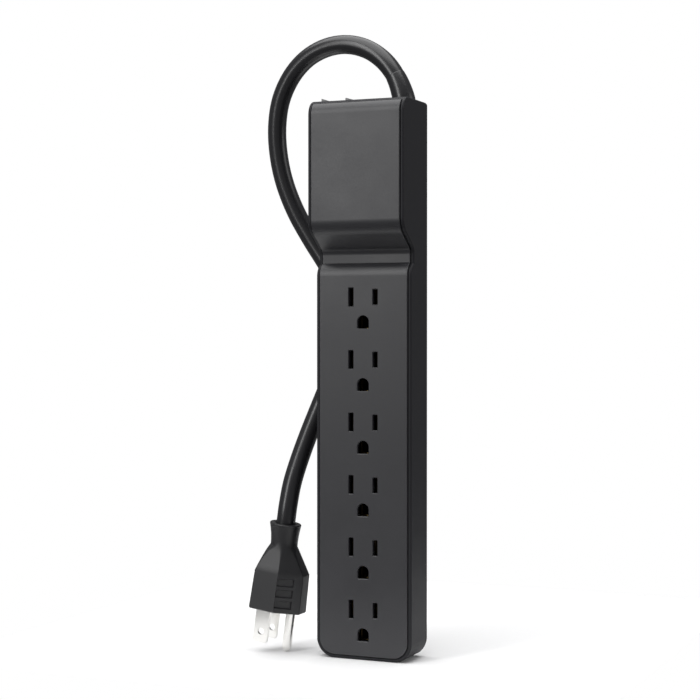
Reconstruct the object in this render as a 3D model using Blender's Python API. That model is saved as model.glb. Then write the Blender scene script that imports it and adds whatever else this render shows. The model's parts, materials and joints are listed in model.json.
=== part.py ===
"""Six-outlet surge protector strip with a short moulded mains lead and plug.

The strip stands upright on its narrow end: +Z runs along its length, the
outlets face -Y, and the origin is at the middle of the foot.
All dimensions below are in millimetres; MM turns them into Blender's metres.
"""

from math import asin, atan2, cos, hypot, pi, radians, sin

import bmesh
import bpy
from mathutils import Matrix, Vector

MM = 0.001

# ---- driving dimensions --------------------------------------------------
WIDTH = 50.0            # across the strip, X
LENGTH = 272.0          # along the strip, Z
DECK_DEPTH = 22.5       # outlet face to back
HEAD_RISE = 10.3        # raised head above the outlet face
DEPTH = DECK_DEPTH + HEAD_RISE
BACK_Y = DEPTH / 2
HEAD_Y = -DEPTH / 2
DECK_Y = HEAD_Y + HEAD_RISE

WALL = 2.0              # body shell wall
REAR_THICK = 1.5        # rear cover
FACE_THICK = 2.4        # front cover
GAP = 0.3               # air between pieces that touch
SEAM = 0.4              # groove between front cover and shell
FACE_INSET = 1.9        # front cover edge to the shell's side
FACE_PROUD = 0.7        # front cover stands this far over the shell's shoulder
SHOULDER = 1.4          # rounding of the shell's front edge
FOOT_CORNER = 9.5       # rounded lower corners, seen from the front
BETA_END = radians(52)  # where the front cover stops on the head's top rounding

# front profile, bottom to top
DECK_TOP_Z = 187.0      # outlet face ends, its upper edge starts to round
DECK_TOP_R = 7.4
VALLEY_DEPTH = 3.65     # groove between outlet face and head
VALLEY_Y = DECK_Y + VALLEY_DEPTH
RAMP_FOOT_Z = 197.2
RAMP_FOOT_R = 4.0
RAMP_TOP_Z = 214.0
RAMP_TOP_R = 9.2
HEAD_TOP_R = 7.0

# outlets
OUTLETS = 6
OUTLET_TOP_Z = 176.8    # blade slots of the top outlet
OUTLET_PITCH = 30.45
BLADE_SPACING = 12.7
GROUND_DROP = 11.9      # blades' line to ground pin axis
SLOT_WIDE = 2.3
NEUTRAL_SLOT = 9.0
HOT_SLOT = 7.5
GROUND_HOLE_R = 2.85
GROUND_HOLE_LOW = 3.4   # flat bottom of the ground hole below the pin axis

# plug
CORD_D = 9.4
PLUG_TILT = radians(8.0)
BLADE_LONG = 17.0
BLADE_THICK = 1.5
NEUTRAL_BLADE = 7.9
HOT_BLADE = 6.35
PIN_R = 2.38
PIN_LONG = 20.2
PIN_TIP = Vector((-43.9, -0.75, 0.3))
PLUG_TALL = 43.3
CORD_SIDE = 2.9         # cord axis off the blades' line, towards the ground pin
POCKET = 3.0

# cord route: hand-chosen points from inside the head to the plug
CORD_ROUTE = [
    (17.1, 7.6, 246.0), (17.1, 7.6, 256.0), (16.9, 7.7, 265.0), (15.5, 8.0, 274.5),
    (11.3, 8.4, 284.8), (4.4, 8.9, 293.4), (-5.1, 9.7, 299.6), (-16.3, 10.7, 302.5),
    (-27.9, 11.8, 301.6), (-38.8, 13.0, 297.0), (-47.9, 14.3, 288.7), (-54.4, 15.7, 277.3),
    (-57.3, 17.3, 263.9), (-57.2, 19.0, 249.6), (-54.4, 20.5, 235.2), (-48.6, 21.9, 220.4),
    (-40.3, 23.0, 206.0), (-31.4, 23.7, 192.2), (-24.9, 23.9, 178.6), (-22.4, 23.8, 164.6),
    (-24.4, 23.3, 150.2), (-29.0, 21.8, 136.6), (-33.6, 18.6, 123.0), (-37.4, 13.8, 109.6),
    (-40.2, 8.2, 96.6), (-42.0, 3.0, 84.6), (-42.9, 0.0, 74.0), (-43.6, -0.75, 67.0), (-44.3, -0.75, 61.9),
]
RELIEF_SPAN = 40.0      # strain relief, measured along the route
RELIEF_R = 5.6
RELIEF_TIP_R = 4.95

# switch end
ROCKER_X = -16.2
ROCKER_Y = -4.4
ROCKER_PIVOT_Z = 269.9
ROCKER_HALF = 5.3
ROCKER_HALF_WIDE = 4.3
ROCKER_TILT = radians(12)
BUTTON_X = -6.5
BUTTON_Y = -5.0
SCREW_PLACES = [(-18.5, 14.0), (18.5, 14.0), (-18.5, 123.0), (18.5, 123.0), (-18.5, 220.0), (18.5, 220.0)]

KEYHOLES = (56.0, 184.0)
PIVOT_PIN_R = 0.95
PIVOT_HOLE_R = 1.03

COLOURS = {
    "shell_plastic": ((0.030, 0.030, 0.032), 0.48, 0.0),
    "face_plastic": ((0.040, 0.040, 0.043), 0.50, 0.0),
    "switch_plastic": ((0.012, 0.012, 0.013), 0.40, 0.0),
    "cord_pvc": ((0.010, 0.010, 0.011), 0.35, 0.0),
    "plug_pvc": ((0.012, 0.012, 0.013), 0.42, 0.0),
    "nickel": ((0.82, 0.82, 0.80), 0.25, 1.0),
    "brass": ((0.78, 0.57, 0.22), 0.35, 1.0),
    "steel": ((0.45, 0.45, 0.46), 0.35, 1.0),
    "board": ((0.02, 0.16, 0.06), 0.50, 0.0),
    "varistor_blue": ((0.02, 0.06, 0.28), 0.45, 0.0),
    "insulator": ((0.55, 0.54, 0.50), 0.55, 0.0),
    "wire_black": ((0.01, 0.01, 0.01), 0.45, 0.0),
    "wire_white": ((0.75, 0.75, 0.73), 0.45, 0.0),
    "wire_green": ((0.02, 0.25, 0.06), 0.45, 0.0),
}


# ---- small tools ---------------------------------------------------------
def clear_scene():
    for obj in list(bpy.data.objects):
        bpy.data.objects.remove(obj, do_unlink=True)


def material(key):
    found = bpy.data.materials.get(key)
    if found:
        return found
    colour, rough, metal = COLOURS[key]
    made = bpy.data.materials.new(key)
    made.use_nodes = True
    shader = made.node_tree.nodes["Principled BSDF"]
    shader.inputs["Base Color"].default_value = (*colour, 1.0)
    shader.inputs["Roughness"].default_value = rough
    shader.inputs["Metallic"].default_value = metal
    return made


def add_object(name, bm, finish, origin=(0, 0, 0)):
    """Turn a millimetre bmesh into an object in metres, its origin where it turns or slides."""
    bmesh.ops.recalc_face_normals(bm, faces=bm.faces)
    bmesh.ops.translate(bm, verts=bm.verts, vec=-Vector(origin))
    bmesh.ops.scale(bm, verts=bm.verts, vec=(MM, MM, MM))
    mesh = bpy.data.meshes.new(name)
    bm.to_mesh(mesh)
    bm.free()
    mesh.shade_smooth()
    mesh.set_sharp_from_angle(angle=radians(35))
    obj = bpy.data.objects.new(name, mesh)
    obj.location = Vector(origin) * MM
    bpy.context.scene.collection.objects.link(obj)
    if finish:
        mesh.materials.append(material(finish))
    return obj


def combine(obj, bm, operation="DIFFERENCE"):
    """Cut a shape out of an object, or join it on, with an exact boolean."""
    tool = add_object(obj.name + "_tool", bm, None)
    tool.hide_render = True
    tool.display_type = "WIRE"
    step = obj.modifiers.new(operation.lower(), "BOOLEAN")
    step.operation = operation
    step.object = tool
    step.solver = "EXACT"
    return obj


def prism(points, low, high, axis):
    """Closed outline extruded along one axis; points are in the other two, in X, Y, Z order."""
    bm = bmesh.new()
    place = {"X": lambda a, b, c: (c, a, b), "Y": lambda a, b, c: (a, c, b), "Z": lambda a, b, c: (a, b, c)}[axis]
    near = [bm.verts.new(place(a, b, low)) for a, b in points]
    far = [bm.verts.new(place(a, b, high)) for a, b in points]
    bm.faces.new(near)
    bm.faces.new(reversed(far))
    for i in range(len(points)):
        j = (i + 1) % len(points)
        bm.faces.new((near[i], far[i], far[j], near[j]))
    bmesh.ops.recalc_face_normals(bm, faces=bm.faces)
    return bm


def box(low, high):
    corners = [(low[0], low[1]), (high[0], low[1]), (high[0], high[1]), (low[0], high[1])]
    return prism(corners, low[2], high[2], "Z")


def merge(*shapes):
    """Several shapes in one bmesh; they stay apart unless they are joined later."""
    whole = bmesh.new()
    for shape in shapes:
        mesh = bpy.data.meshes.new("part")
        shape.to_mesh(mesh)
        shape.free()
        whole.from_mesh(mesh)
        bpy.data.meshes.remove(mesh)
    return whole


def arc(centre, radius, start, end, steps):
    """Points on an arc, in degrees, from +first axis towards +second axis."""
    turn = [radians(start + (end - start) * i / steps) for i in range(steps + 1)]
    return [(centre[0] + radius * cos(t), centre[1] + radius * sin(t)) for t in turn]


def circle(centre, radius, steps):
    return arc(centre, radius, 0, 360 - 360 / steps, steps - 1)


def turned(profile, centre, axis, steps):
    """Solid of revolution; profile is (radius, distance along the axis) from end to end."""
    bm = bmesh.new()
    rings = []
    for radius, along in profile:
        ring = []
        for k in range(steps):
            t = 2 * pi * k / steps
            ring.append(bm.verts.new((radius * cos(t), radius * sin(t), along)))
        rings.append(ring)
    for a, b in zip(rings, rings[1:]):
        for k in range(steps):
            n = (k + 1) % steps
            bm.faces.new((a[k], a[n], b[n], b[k]))
    bm.faces.new(reversed(rings[0]))
    bm.faces.new(rings[-1])
    turn = Vector((0, 0, 1)).rotation_difference(Vector(axis)).to_matrix().to_4x4()
    bmesh.ops.transform(bm, matrix=Matrix.Translation(centre) @ turn, verts=bm.verts)
    bmesh.ops.recalc_face_normals(bm, faces=bm.faces)
    return bm


def smooth_route(points, spacing):
    """Catmull-Rom curve through hand-chosen points, read at even spacing."""
    pts = [Vector(p) for p in points]
    pts = [2 * pts[0] - pts[1]] + pts + [2 * pts[-1] - pts[-2]]
    fine = []
    for i in range(1, len(pts) - 2):
        p0, p1, p2, p3 = pts[i - 1:i + 3]
        for k in range(12):
            t = k / 12
            fine.append(0.5 * (2 * p1 + (p2 - p0) * t + (2 * p0 - 5 * p1 + 4 * p2 - p3) * t * t
                               + (3 * p1 - p0 - 3 * p2 + p3) * t ** 3))
    fine.append(pts[-2])
    runs = [0.0]
    for a, b in zip(fine, fine[1:]):
        runs.append(runs[-1] + (b - a).length)
    count = max(2, round(runs[-1] / spacing))
    even = []
    k = 0
    for i in range(count + 1):
        want = runs[-1] * i / count
        while k < len(runs) - 2 and runs[k + 1] < want:
            k += 1
        part = (want - runs[k]) / (runs[k + 1] - runs[k])
        even.append(fine[k].lerp(fine[k + 1], min(1.0, part)))
    return even


def tube(name, points, radius, finish, resolution=3):
    """Round lead along a route: a bevelled poly curve with filled caps."""
    curve = bpy.data.curves.new(name, "CURVE")
    curve.dimensions = "3D"
    curve.bevel_depth = radius * MM
    curve.bevel_resolution = resolution
    curve.use_fill_caps = True
    spline = curve.splines.new("POLY")
    spline.points.add(len(points) - 1)
    for point, place in zip(spline.points, points):
        point.co = (*(Vector(place) * MM), 1.0)
    curve.materials.append(material(finish))
    obj = bpy.data.objects.new(name, curve)
    bpy.context.scene.collection.objects.link(obj)
    return obj


# ---- housing -------------------------------------------------------------
def front_profile(inset):
    """Side view (Y, Z) of the front, foot to top, moved into the body by inset."""
    ramp_turn = RAMP_TOP_R + RAMP_FOOT_R
    dy = HEAD_Y + RAMP_TOP_R - VALLEY_Y + RAMP_FOOT_R
    dz = RAMP_TOP_Z - RAMP_FOOT_Z
    ramp = asin(ramp_turn / hypot(dy, dz)) - atan2(dy, dz)
    ramp_deg = ramp * 180 / pi
    edge_r = DECK_TOP_R - inset
    crease = 180 / pi * atan2((edge_r ** 2 - (DECK_TOP_R - VALLEY_DEPTH - inset) ** 2) ** 0.5,
                              DECK_TOP_R - VALLEY_DEPTH - inset)
    points = [(DECK_Y + inset, 0.0)]
    points += arc((DECK_Y + DECK_TOP_R, DECK_TOP_Z), edge_r, 180, 180 - crease, 7)
    points += arc((VALLEY_Y - RAMP_FOOT_R, RAMP_FOOT_Z), RAMP_FOOT_R + inset, 0, ramp_deg, 6)
    points += arc((HEAD_Y + RAMP_TOP_R, RAMP_TOP_Z), RAMP_TOP_R - inset, 180 + ramp_deg, 180, 8)
    return points


def head_arc(inset, start_deg, end_deg, steps):
    """The rounding between the head's front and its top end."""
    return arc((HEAD_Y + HEAD_TOP_R, LENGTH - HEAD_TOP_R), HEAD_TOP_R - inset, 180 - start_deg, 180 - end_deg, steps)


def near_line(point, line, reach=0.01):
    for (ay, az), (by, bz) in zip(line, line[1:]):
        dy, dz = by - ay, bz - az
        span = dy * dy + dz * dz
        t = 0.0 if span == 0 else max(0.0, min(1.0, ((point.y - ay) * dy + (point.z - az) * dz) / span))
        if hypot(point.y - ay - t * dy, point.z - az - t * dz) < reach:
            return True
    return False


def round_foot_corners(bm, foot_z, radius):
    """Round the two lower corners seen from the front."""
    corners = []
    for edge in bm.edges:
        a, b = (v.co for v in edge.verts)
        if abs(a.x - b.x) < 0.01 and abs(a.z - foot_z) < 0.01 and abs(b.z - foot_z) < 0.01:
            corners.append(edge)
    bmesh.ops.bevel(bm, geom=corners, offset=radius, segments=8, profile=0.5, affect="EDGES")


def soften_rim(bm, line, amount, segments):
    """Round the rim where the surface along a side-view line meets the sides and the ends."""
    rim = []
    for edge in bm.edges:
        if len(edge.link_faces) == 2 and all(near_line(v.co, line) for v in edge.verts):
            if edge.calc_face_angle(0.0) > radians(70):
                rim.append(edge)
    bmesh.ops.bevel(bm, geom=rim, offset=amount, segments=segments, profile=0.5, affect="EDGES", clamp_overlap=True)


def cavity(half, foot_z, radius, line, top, back):
    """Room inside the shell, from a side-view line back past the rear."""
    bm = prism(line + [(back, top), (back, foot_z)], -half, half, "X")
    round_foot_corners(bm, foot_z, radius)
    return bm


def from_foot(line, foot_z):
    """The same side-view line, starting higher than the foot."""
    return [(line[0][0], foot_z)] + line[1:]


def body_shell():
    half = WIDTH / 2
    back = BACK_Y - REAR_THICK - GAP
    shoulder = front_profile(FACE_PROUD) + head_arc(FACE_PROUD, 0, 90, 10)
    top_r = HEAD_TOP_R - FACE_PROUD
    lifted = [(y, z + FACE_PROUD * max(0.0, z - LENGTH + HEAD_TOP_R) / top_r) for y, z in shoulder]
    bm = prism(lifted + [(back, LENGTH), (back, 0.0)], -half, half, "X")
    round_foot_corners(bm, 0.0, FOOT_CORNER)
    soften_rim(bm, lifted + [(back, LENGTH)], SHOULDER, 3)
    shell = add_object("body_shell", bm, "shell_plastic")
    floor_of_rebate = FACE_THICK + GAP
    end = BETA_END * 180 / pi + SEAM / HEAD_TOP_R * 180 / pi
    open_front = front_profile(-3.0) + head_arc(-3.0, 0, end, 5)
    ceiling = head_arc(floor_of_rebate, end, 90, 4)
    room = cavity(half - WALL, WALL, FOOT_CORNER - WALL, from_foot(open_front, WALL) + ceiling,
                  LENGTH - floor_of_rebate, back + 2)
    combine(shell, room)
    rebate_line = from_foot(open_front, FACE_INSET - SEAM)
    inner_line = front_profile(floor_of_rebate) + head_arc(floor_of_rebate, 0, end, 5)
    rebate = prism(rebate_line + list(reversed(from_foot(inner_line, FACE_INSET - SEAM))),
                   -(half - FACE_INSET + SEAM), half - FACE_INSET + SEAM, "X")
    round_foot_corners(rebate, FACE_INSET - SEAM, FOOT_CORNER - FACE_INSET + SEAM)
    combine(shell, rebate)
    combine(shell, box((ROCKER_X - 6.75, ROCKER_Y - 5.4, LENGTH - 6), (ROCKER_X + 6.75, ROCKER_Y + 5.4, LENGTH + 6)))
    combine(shell, box((BUTTON_X - 2.4, BUTTON_Y - 3.1, LENGTH - 6), (BUTTON_X + 2.4, BUTTON_Y + 3.1, LENGTH + 6)))
    hole_top = Vector(CORD_ROUTE[3])
    hole_low = Vector(CORD_ROUTE[2])
    lean = (hole_top - hole_low).normalized()
    combine(shell, turned([(RELIEF_R + 0.5, -8), (RELIEF_R + 0.5, 8)], (hole_top + hole_low) / 2, lean, 28))


def outlet_cutters():
    shapes = []
    for k in range(OUTLETS):
        z = OUTLET_TOP_Z - k * OUTLET_PITCH
        for x, tall in ((-BLADE_SPACING / 2, NEUTRAL_SLOT), (BLADE_SPACING / 2, HOT_SLOT)):
            low = (x - SLOT_WIDE / 2, DECK_Y - 2, z - tall / 2)
            high = (x + SLOT_WIDE / 2, DECK_Y + FACE_THICK + 2, z + tall / 2)
            shapes.append(box(low, high))
        pin_z = z - GROUND_DROP
        outline = arc((0, pin_z), GROUND_HOLE_R, 0, 180, 12)
        outline += [(-GROUND_HOLE_R, pin_z - GROUND_HOLE_LOW), (GROUND_HOLE_R, pin_z - GROUND_HOLE_LOW)]
        shapes.append(prism(outline, DECK_Y - 2, DECK_Y + FACE_THICK + 2, "Y"))
    return merge(*shapes)


def screw_post(x, z):
    """Post under the front cover that a rear cover screw bites into."""
    head = z > RAMP_TOP_Z
    start = (HEAD_Y if head else DECK_Y) + FACE_THICK - 0.8
    end = BACK_Y - REAR_THICK - GAP
    return turned([(3.2, start), (3.2, end)], (x, 0, z), (0, 1, 0), 20)


def front_cover():
    half = WIDTH / 2 - FACE_INSET
    end = BETA_END * 180 / pi
    outer = from_foot(front_profile(0.0) + head_arc(0.0, 0, end, 6), FACE_INSET)
    inner = from_foot(front_profile(FACE_THICK) + head_arc(FACE_THICK, 0, end, 6), FACE_INSET)
    bm = prism(outer + list(reversed(inner)), -half, half, "X")
    round_foot_corners(bm, FACE_INSET, FOOT_CORNER - FACE_INSET)
    soften_rim(bm, outer, 0.35, 2)
    cover = add_object("front_cover", bm, "face_plastic")
    combine(cover, outlet_cutters())
    combine(cover, merge(*[screw_post(x, z) for x, z in SCREW_PLACES]), "UNION")
    pilots = [turned([(1.5, 2.0), (1.5, BACK_Y)], (x, 0, z), (0, 1, 0), 12) for x, z in SCREW_PLACES]
    combine(cover, merge(*pilots))


def keyhole(z):
    """Wall-hanging slot: a round entry below a narrow neck."""
    neck = 2.1
    entry = 4.1
    low = atan2((entry ** 2 - neck ** 2) ** 0.5, neck) * 180 / pi
    outline = arc((0, z), entry, 180 - low, 360 + low, 20)
    outline += arc((0, z + 8.0), neck, 0, 180, 6)
    return prism(outline, BACK_Y - 4, BACK_Y + 2, "Y")


def rear_cover():
    half = WIDTH / 2
    outline = arc((half - FOOT_CORNER, FOOT_CORNER), FOOT_CORNER, -90, 0, 8)
    outline += arc((half - SHOULDER, LENGTH - SHOULDER), SHOULDER, 0, 90, 3)
    outline += [(-x, z) for x, z in reversed(outline)]
    bm = prism(outline, BACK_Y - REAR_THICK, BACK_Y, "Y")
    rim = [e for e in bm.edges if all(abs(v.co.y - BACK_Y) < 0.01 for v in e.verts)]
    bmesh.ops.bevel(bm, geom=rim, offset=0.7, segments=2, profile=0.5, affect="EDGES")
    cover = add_object("rear_cover", bm, "shell_plastic")
    cuts = [keyhole(z) for z in KEYHOLES]
    for x, z in SCREW_PLACES:
        profile = [(1.6, BACK_Y - 3), (1.6, BACK_Y - 0.9), (3.4, BACK_Y - 0.9), (3.4, BACK_Y + 1)]
        cuts.append(turned(profile, (x, 0, z), (0, 1, 0), 20))
    combine(cover, merge(*cuts))


def cover_screws():
    for k, (x, z) in enumerate(SCREW_PLACES, 1):
        top = BACK_Y - 0.15
        profile = [(0.4, BACK_Y - 11.0), (1.2, BACK_Y - 9.6), (1.2, top - 0.45), (3.0, top - 0.45), (2.7, top)]
        screw = add_object(f"cover_screw_{k}", turned(profile, (x, 0, z), (0, 1, 0), 16), "steel")
        cross = merge(box((x - 1.5, top - 0.35, z - 0.3), (x + 1.5, top + 1, z + 0.3)))
        combine(screw, cross)


# ---- switch end ----------------------------------------------------------
def switch_frame():
    x, y = ROCKER_X, ROCKER_Y
    top = LENGTH - 0.15
    frame = add_object("switch_frame", box((x - 6.45, y - 5.1, 252.0), (x + 6.45, y + 5.1, top)), "switch_plastic")
    combine(frame, box((x - 6.0, y - 4.6, 258.0), (x + 6.0, y + 4.6, top + 2)))
    combine(frame, turned([(PIVOT_HOLE_R, -8), (PIVOT_HOLE_R, 8)], (x, y, ROCKER_PIVOT_Z), (0, 1, 0), 24))
    for name, dx in (("switch_tab_line", -3.4), ("switch_tab_load", 3.4)):
        add_object(name, box((x + dx - 2.0, y - 0.4, 243.0), (x + dx + 2.0, y + 0.4, 251.7)), "brass")


def rocker():
    """Rocker at rest with its outer end raised; it turns about its pins."""
    pivot = Vector((ROCKER_X, ROCKER_Y, ROCKER_PIVOT_Z))
    top = 2.6
    outline = [(-ROCKER_HALF, top), (-ROCKER_HALF + 0.5, top - 3.0), (-2.4, -3.4), (2.4, -3.4),
               (ROCKER_HALF - 0.5, top - 3.0), (ROCKER_HALF, top), (0.0, top - 0.6)]
    bm = prism(outline, -ROCKER_HALF_WIDE, ROCKER_HALF_WIDE, "Y")
    ends = [e for e in bm.edges if abs(e.verts[0].co.x - e.verts[1].co.x) < 0.01
            and abs(abs(e.verts[0].co.x) - ROCKER_HALF) < 0.01 and abs(e.verts[0].co.z - e.verts[1].co.z) < 0.01]
    bmesh.ops.bevel(bm, geom=ends, offset=0.4, segments=2, profile=0.5, affect="EDGES")
    turn = Matrix.Translation(pivot) @ Matrix.Rotation(ROCKER_TILT, 4, "Y")
    bmesh.ops.transform(bm, matrix=turn, verts=bm.verts)
    obj = add_object("rocker", bm, "switch_plastic", pivot)
    combine(obj, turned([(PIVOT_PIN_R, -5.0), (PIVOT_PIN_R, 5.0)], pivot, (0, 1, 0), 24), "UNION")


def breaker():
    x, y = BUTTON_X, BUTTON_Y
    body = add_object("breaker_body", box((x - 2.9, y - 4.0, 246.0), (x + 4.4, y + 6.0, 268.9)), "insulator")
    combine(body, box((x - 2.4, y - 3.1, 258.0), (x + 2.4, y + 3.1, 271.0)))
    stem = prism([(x - 2.1, 262.6), (x + 2.1, 262.6), (x + 2.1, 272.3), (x - 2.1, 273.6)], y - 2.8, y + 2.8, "Y")
    top = [e for e in stem.edges if all(v.co.z > LENGTH for v in e.verts)]
    bmesh.ops.bevel(stem, geom=top, offset=0.3, segments=2, profile=0.5, affect="EDGES")
    add_object("reset_button", stem, "switch_plastic", (x, y, 262.6))
    turns = 3
    coil = [(x + 1.5 * cos(t), y + 1.5 * sin(t), 258.6 + 3.4 * t / (2 * pi * turns))
            for t in (2 * pi * turns * i / 36 for i in range(37))]
    tube("reset_spring", coil, 0.22, "steel", 1)


# ---- cord and plug -------------------------------------------------------
def route_split():
    """Even points along the whole route, with the distance of each from its start."""
    points = smooth_route(CORD_ROUTE, 2.0)
    runs = [0.0]
    for a, b in zip(points, points[1:]):
        runs.append(runs[-1] + (b - a).length)
    return points, runs


def swept(points, radii, steps):
    """Round solid along a route with a radius for each point."""
    bm = bmesh.new()
    rings = []
    side = Vector((0, 1, 0))
    for i, (point, radius) in enumerate(zip(points, radii)):
        ahead = (points[min(i + 1, len(points) - 1)] - points[max(i - 1, 0)]).normalized()
        across = ahead.cross(side).normalized()
        up = across.cross(ahead)
        ring = []
        for k in range(steps):
            t = 2 * pi * k / steps
            ring.append(bm.verts.new(point + radius * (cos(t) * across + sin(t) * up)))
        rings.append(ring)
    for a, b in zip(rings, rings[1:]):
        for k in range(steps):
            n = (k + 1) % steps
            bm.faces.new((a[k], a[n], b[n], b[k]))
    bm.faces.new(rings[0])
    bm.faces.new(reversed(rings[-1]))
    bmesh.ops.recalc_face_normals(bm, faces=bm.faces)
    return bm


def cord():
    points, runs = route_split()
    relief = [p for p, r in zip(points, runs) if r <= RELIEF_SPAN]
    inside = 28.0
    radii = []
    for r in runs[:len(relief)]:
        out = max(0.0, (r - inside) / (RELIEF_SPAN - inside))
        radii.append(RELIEF_R + (RELIEF_TIP_R - RELIEF_R) * out)
    add_object("cord_strain_relief", swept(relief, radii, 20), "cord_pvc")
    start = runs[len(relief) - 1] + GAP
    free = [p for p, r in zip(points, runs) if r > start + 1.0]
    ahead = (relief[-1] - relief[-2]).normalized()
    first = [relief[-1] + ahead * GAP, relief[-1] + ahead * 2.0]
    tube("power_cord", first + free[5:-4:7] + free[-3:-1:2] + [free[-1]], CORD_D / 2, "cord_pvc", 3)
    middle = smooth_route(CORD_ROUTE[:2], 2.0)[2]
    clamp = add_object("cord_clamp", box((8.4, 0.4, 248.0), (22.6, 14.2, 252.5)), "insulator")
    combine(clamp, turned([(RELIEF_R + GAP, -6), (RELIEF_R + GAP, 6)], middle, (0, 0, 1), 24))


def plug_matrix():
    """Plug frame: origin between the blades on the plug's face, +X to the ground pin, +Z to the cord."""
    turn = Matrix.Rotation(PLUG_TILT, 4, "Y")
    tip = turn @ Vector((GROUND_DROP, 0, -PIN_LONG))
    return Matrix.Translation(PIN_TIP - tip) @ turn


def place(bm, matrix):
    bmesh.ops.transform(bm, matrix=matrix, verts=bm.verts)
    return bm


PLUG_SECTION = [(-6.3, -11.6), (6.0, -11.6), (18.2, -3.0), (18.2, 3.0), (6.0, 11.6), (-6.3, 11.6)]


def plug_ring(corners, per_side):
    """Outline with extra points on every side, so that it can be joined to a round one."""
    ring = []
    for (ax, ay), (bx, by) in zip(corners, corners[1:] + corners[:1]):
        for i in range(per_side):
            ring.append((ax + (bx - ax) * i / per_side, ay + (by - ay) * i / per_side))
    return ring


def plug_body():
    square = plug_ring(PLUG_SECTION, 4)
    middle_x = 5.8
    angles = [atan2(y, x - middle_x) for x, y in square]
    levels = [(0.0, 1.0, None), (0.6, 1.012, None), (19.2, 0.965, None), (32.3, 0.0, (3.5, 6.75)),
              (37.0, 0.0, (3.3, 6.95)), (PLUG_TALL, 0.0, (CORD_SIDE, 7.9))]
    bm = bmesh.new()
    rings = []
    for w, size, round_part in levels:
        ring = []
        for (x, y), t in zip(square, angles):
            if round_part:
                spot = (round_part[0] + round_part[1] * cos(t), round_part[1] * sin(t), w)
            else:
                spot = (middle_x + (x - middle_x) * size, y * size, w)
            ring.append(bm.verts.new(spot))
        rings.append(ring)
    for a, b in zip(rings, rings[1:]):
        for k in range(len(square)):
            n = (k + 1) % len(square)
            bm.faces.new((a[k], a[n], b[n], b[k]))
    bm.faces.new(rings[0])
    bm.faces.new(reversed(rings[-1]))
    frame = plug_matrix()
    body = add_object("plug_body", place(bm, frame), "plug_pvc")
    clear = GAP
    pockets = []
    for y, wide in ((-BLADE_SPACING / 2, NEUTRAL_BLADE), (BLADE_SPACING / 2, HOT_BLADE)):
        low = (-wide / 2 - clear, y - BLADE_THICK / 2 - clear, -2)
        high = (wide / 2 + clear, y + BLADE_THICK / 2 + clear, POCKET)
        pockets.append(box(low, high))
    pockets.append(turned([(PIN_R + clear, -2), (PIN_R + clear, POCKET)], (GROUND_DROP, 0, 0), (0, 0, 1), 20))
    entry = CORD_D / 2 + 0.45
    pockets.append(turned([(entry, PLUG_TALL - POCKET), (entry, PLUG_TALL + 3)], (CORD_SIDE, 0, 0), (0, 0, 1), 20))
    combine(body, place(merge(*pockets), frame))


def blade(name, y, wide):
    """Flat blade with a clipped tip and a locating hole."""
    half = wide / 2
    tip = -BLADE_LONG
    outline = [(-half, POCKET - GAP), (-half, tip + 1.0), (-half + 1.0, tip), (half - 1.0, tip),
               (half, tip + 1.0), (half, POCKET - GAP)]
    frame = plug_matrix()
    bm = prism(outline, y - BLADE_THICK / 2, y + BLADE_THICK / 2, "Y")
    obj = add_object(name, place(bm, frame), "nickel")
    hole = turned([(1.6, -2), (1.6, 2)], (0, y, tip + 5.6), (0, 1, 0), 20)
    combine(obj, place(hole, frame))


def ground_pin():
    r = PIN_R
    profile = [(r, POCKET - GAP), (r, -PIN_LONG + 3.0)]
    profile += [(r * cos(radians(a)), -PIN_LONG + 3.0 - 3.0 * sin(radians(a))) for a in (25, 45, 62, 76)]
    profile.append((0.15, -PIN_LONG))
    bm = turned(list(reversed(profile)), (GROUND_DROP, 0, 0), (0, 0, 1), 20)
    add_object("ground_pin", place(bm, plug_matrix()), "nickel")


# ---- conductors ----------------------------------------------------------
STRIP = 0.8             # contact metal
CLIP_FRONT = DECK_Y + 5.6
CLIP_BACK = DECK_Y + 14.0
BUS_TOP = OUTLET_TOP_Z + 9.0


def blade_bus(name, side):
    """Strip past all the outlets with a spring clip behind each blade slot."""
    x = side * BLADE_SPACING / 2
    outer = 0.85 * side
    strip = sorted((x + outer, x + outer + STRIP * side))
    leaf = sorted((x - outer, x - outer - STRIP * side))
    bottom = OUTLET_TOP_Z - (OUTLETS - 1) * OUTLET_PITCH - 4.0
    bus = add_object(name, box((strip[0], CLIP_FRONT, bottom), (strip[1], CLIP_BACK, BUS_TOP)), "brass")
    clips = []
    for k in range(OUTLETS):
        z = OUTLET_TOP_Z - k * OUTLET_PITCH
        across = sorted((strip[0], strip[1], leaf[0], leaf[1]))
        profile = [(leaf[0], z - 3.5), (leaf[1], z - 3.5), (leaf[1], z + 4.8), (leaf[0], z + 4.8)]
        clips.append(prism(profile, CLIP_FRONT, CLIP_BACK, "Y"))
        bridge = box((across[0] + 0.1, CLIP_FRONT + 0.4, z + 4.1), (across[3] - 0.1, CLIP_BACK - 0.4, z + 4.7))
        clips.append(bridge)
    combine(bus, union_of(name, clips), "UNION")


def union_of(name, shapes):
    """Fuse touching boxes into one shape by separate exact unions."""
    whole = add_object(name + "_seed", shapes[0], None)
    for shape in shapes[1:]:
        combine(whole, shape, "UNION")
    graph = bpy.context.evaluated_depsgraph_get()
    fused = bmesh.new()
    fused.from_object(whole, graph)
    bmesh.ops.scale(fused, verts=fused.verts, vec=(1 / MM, 1 / MM, 1 / MM))
    bpy.data.objects.remove(whole, do_unlink=True)
    return fused


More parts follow.
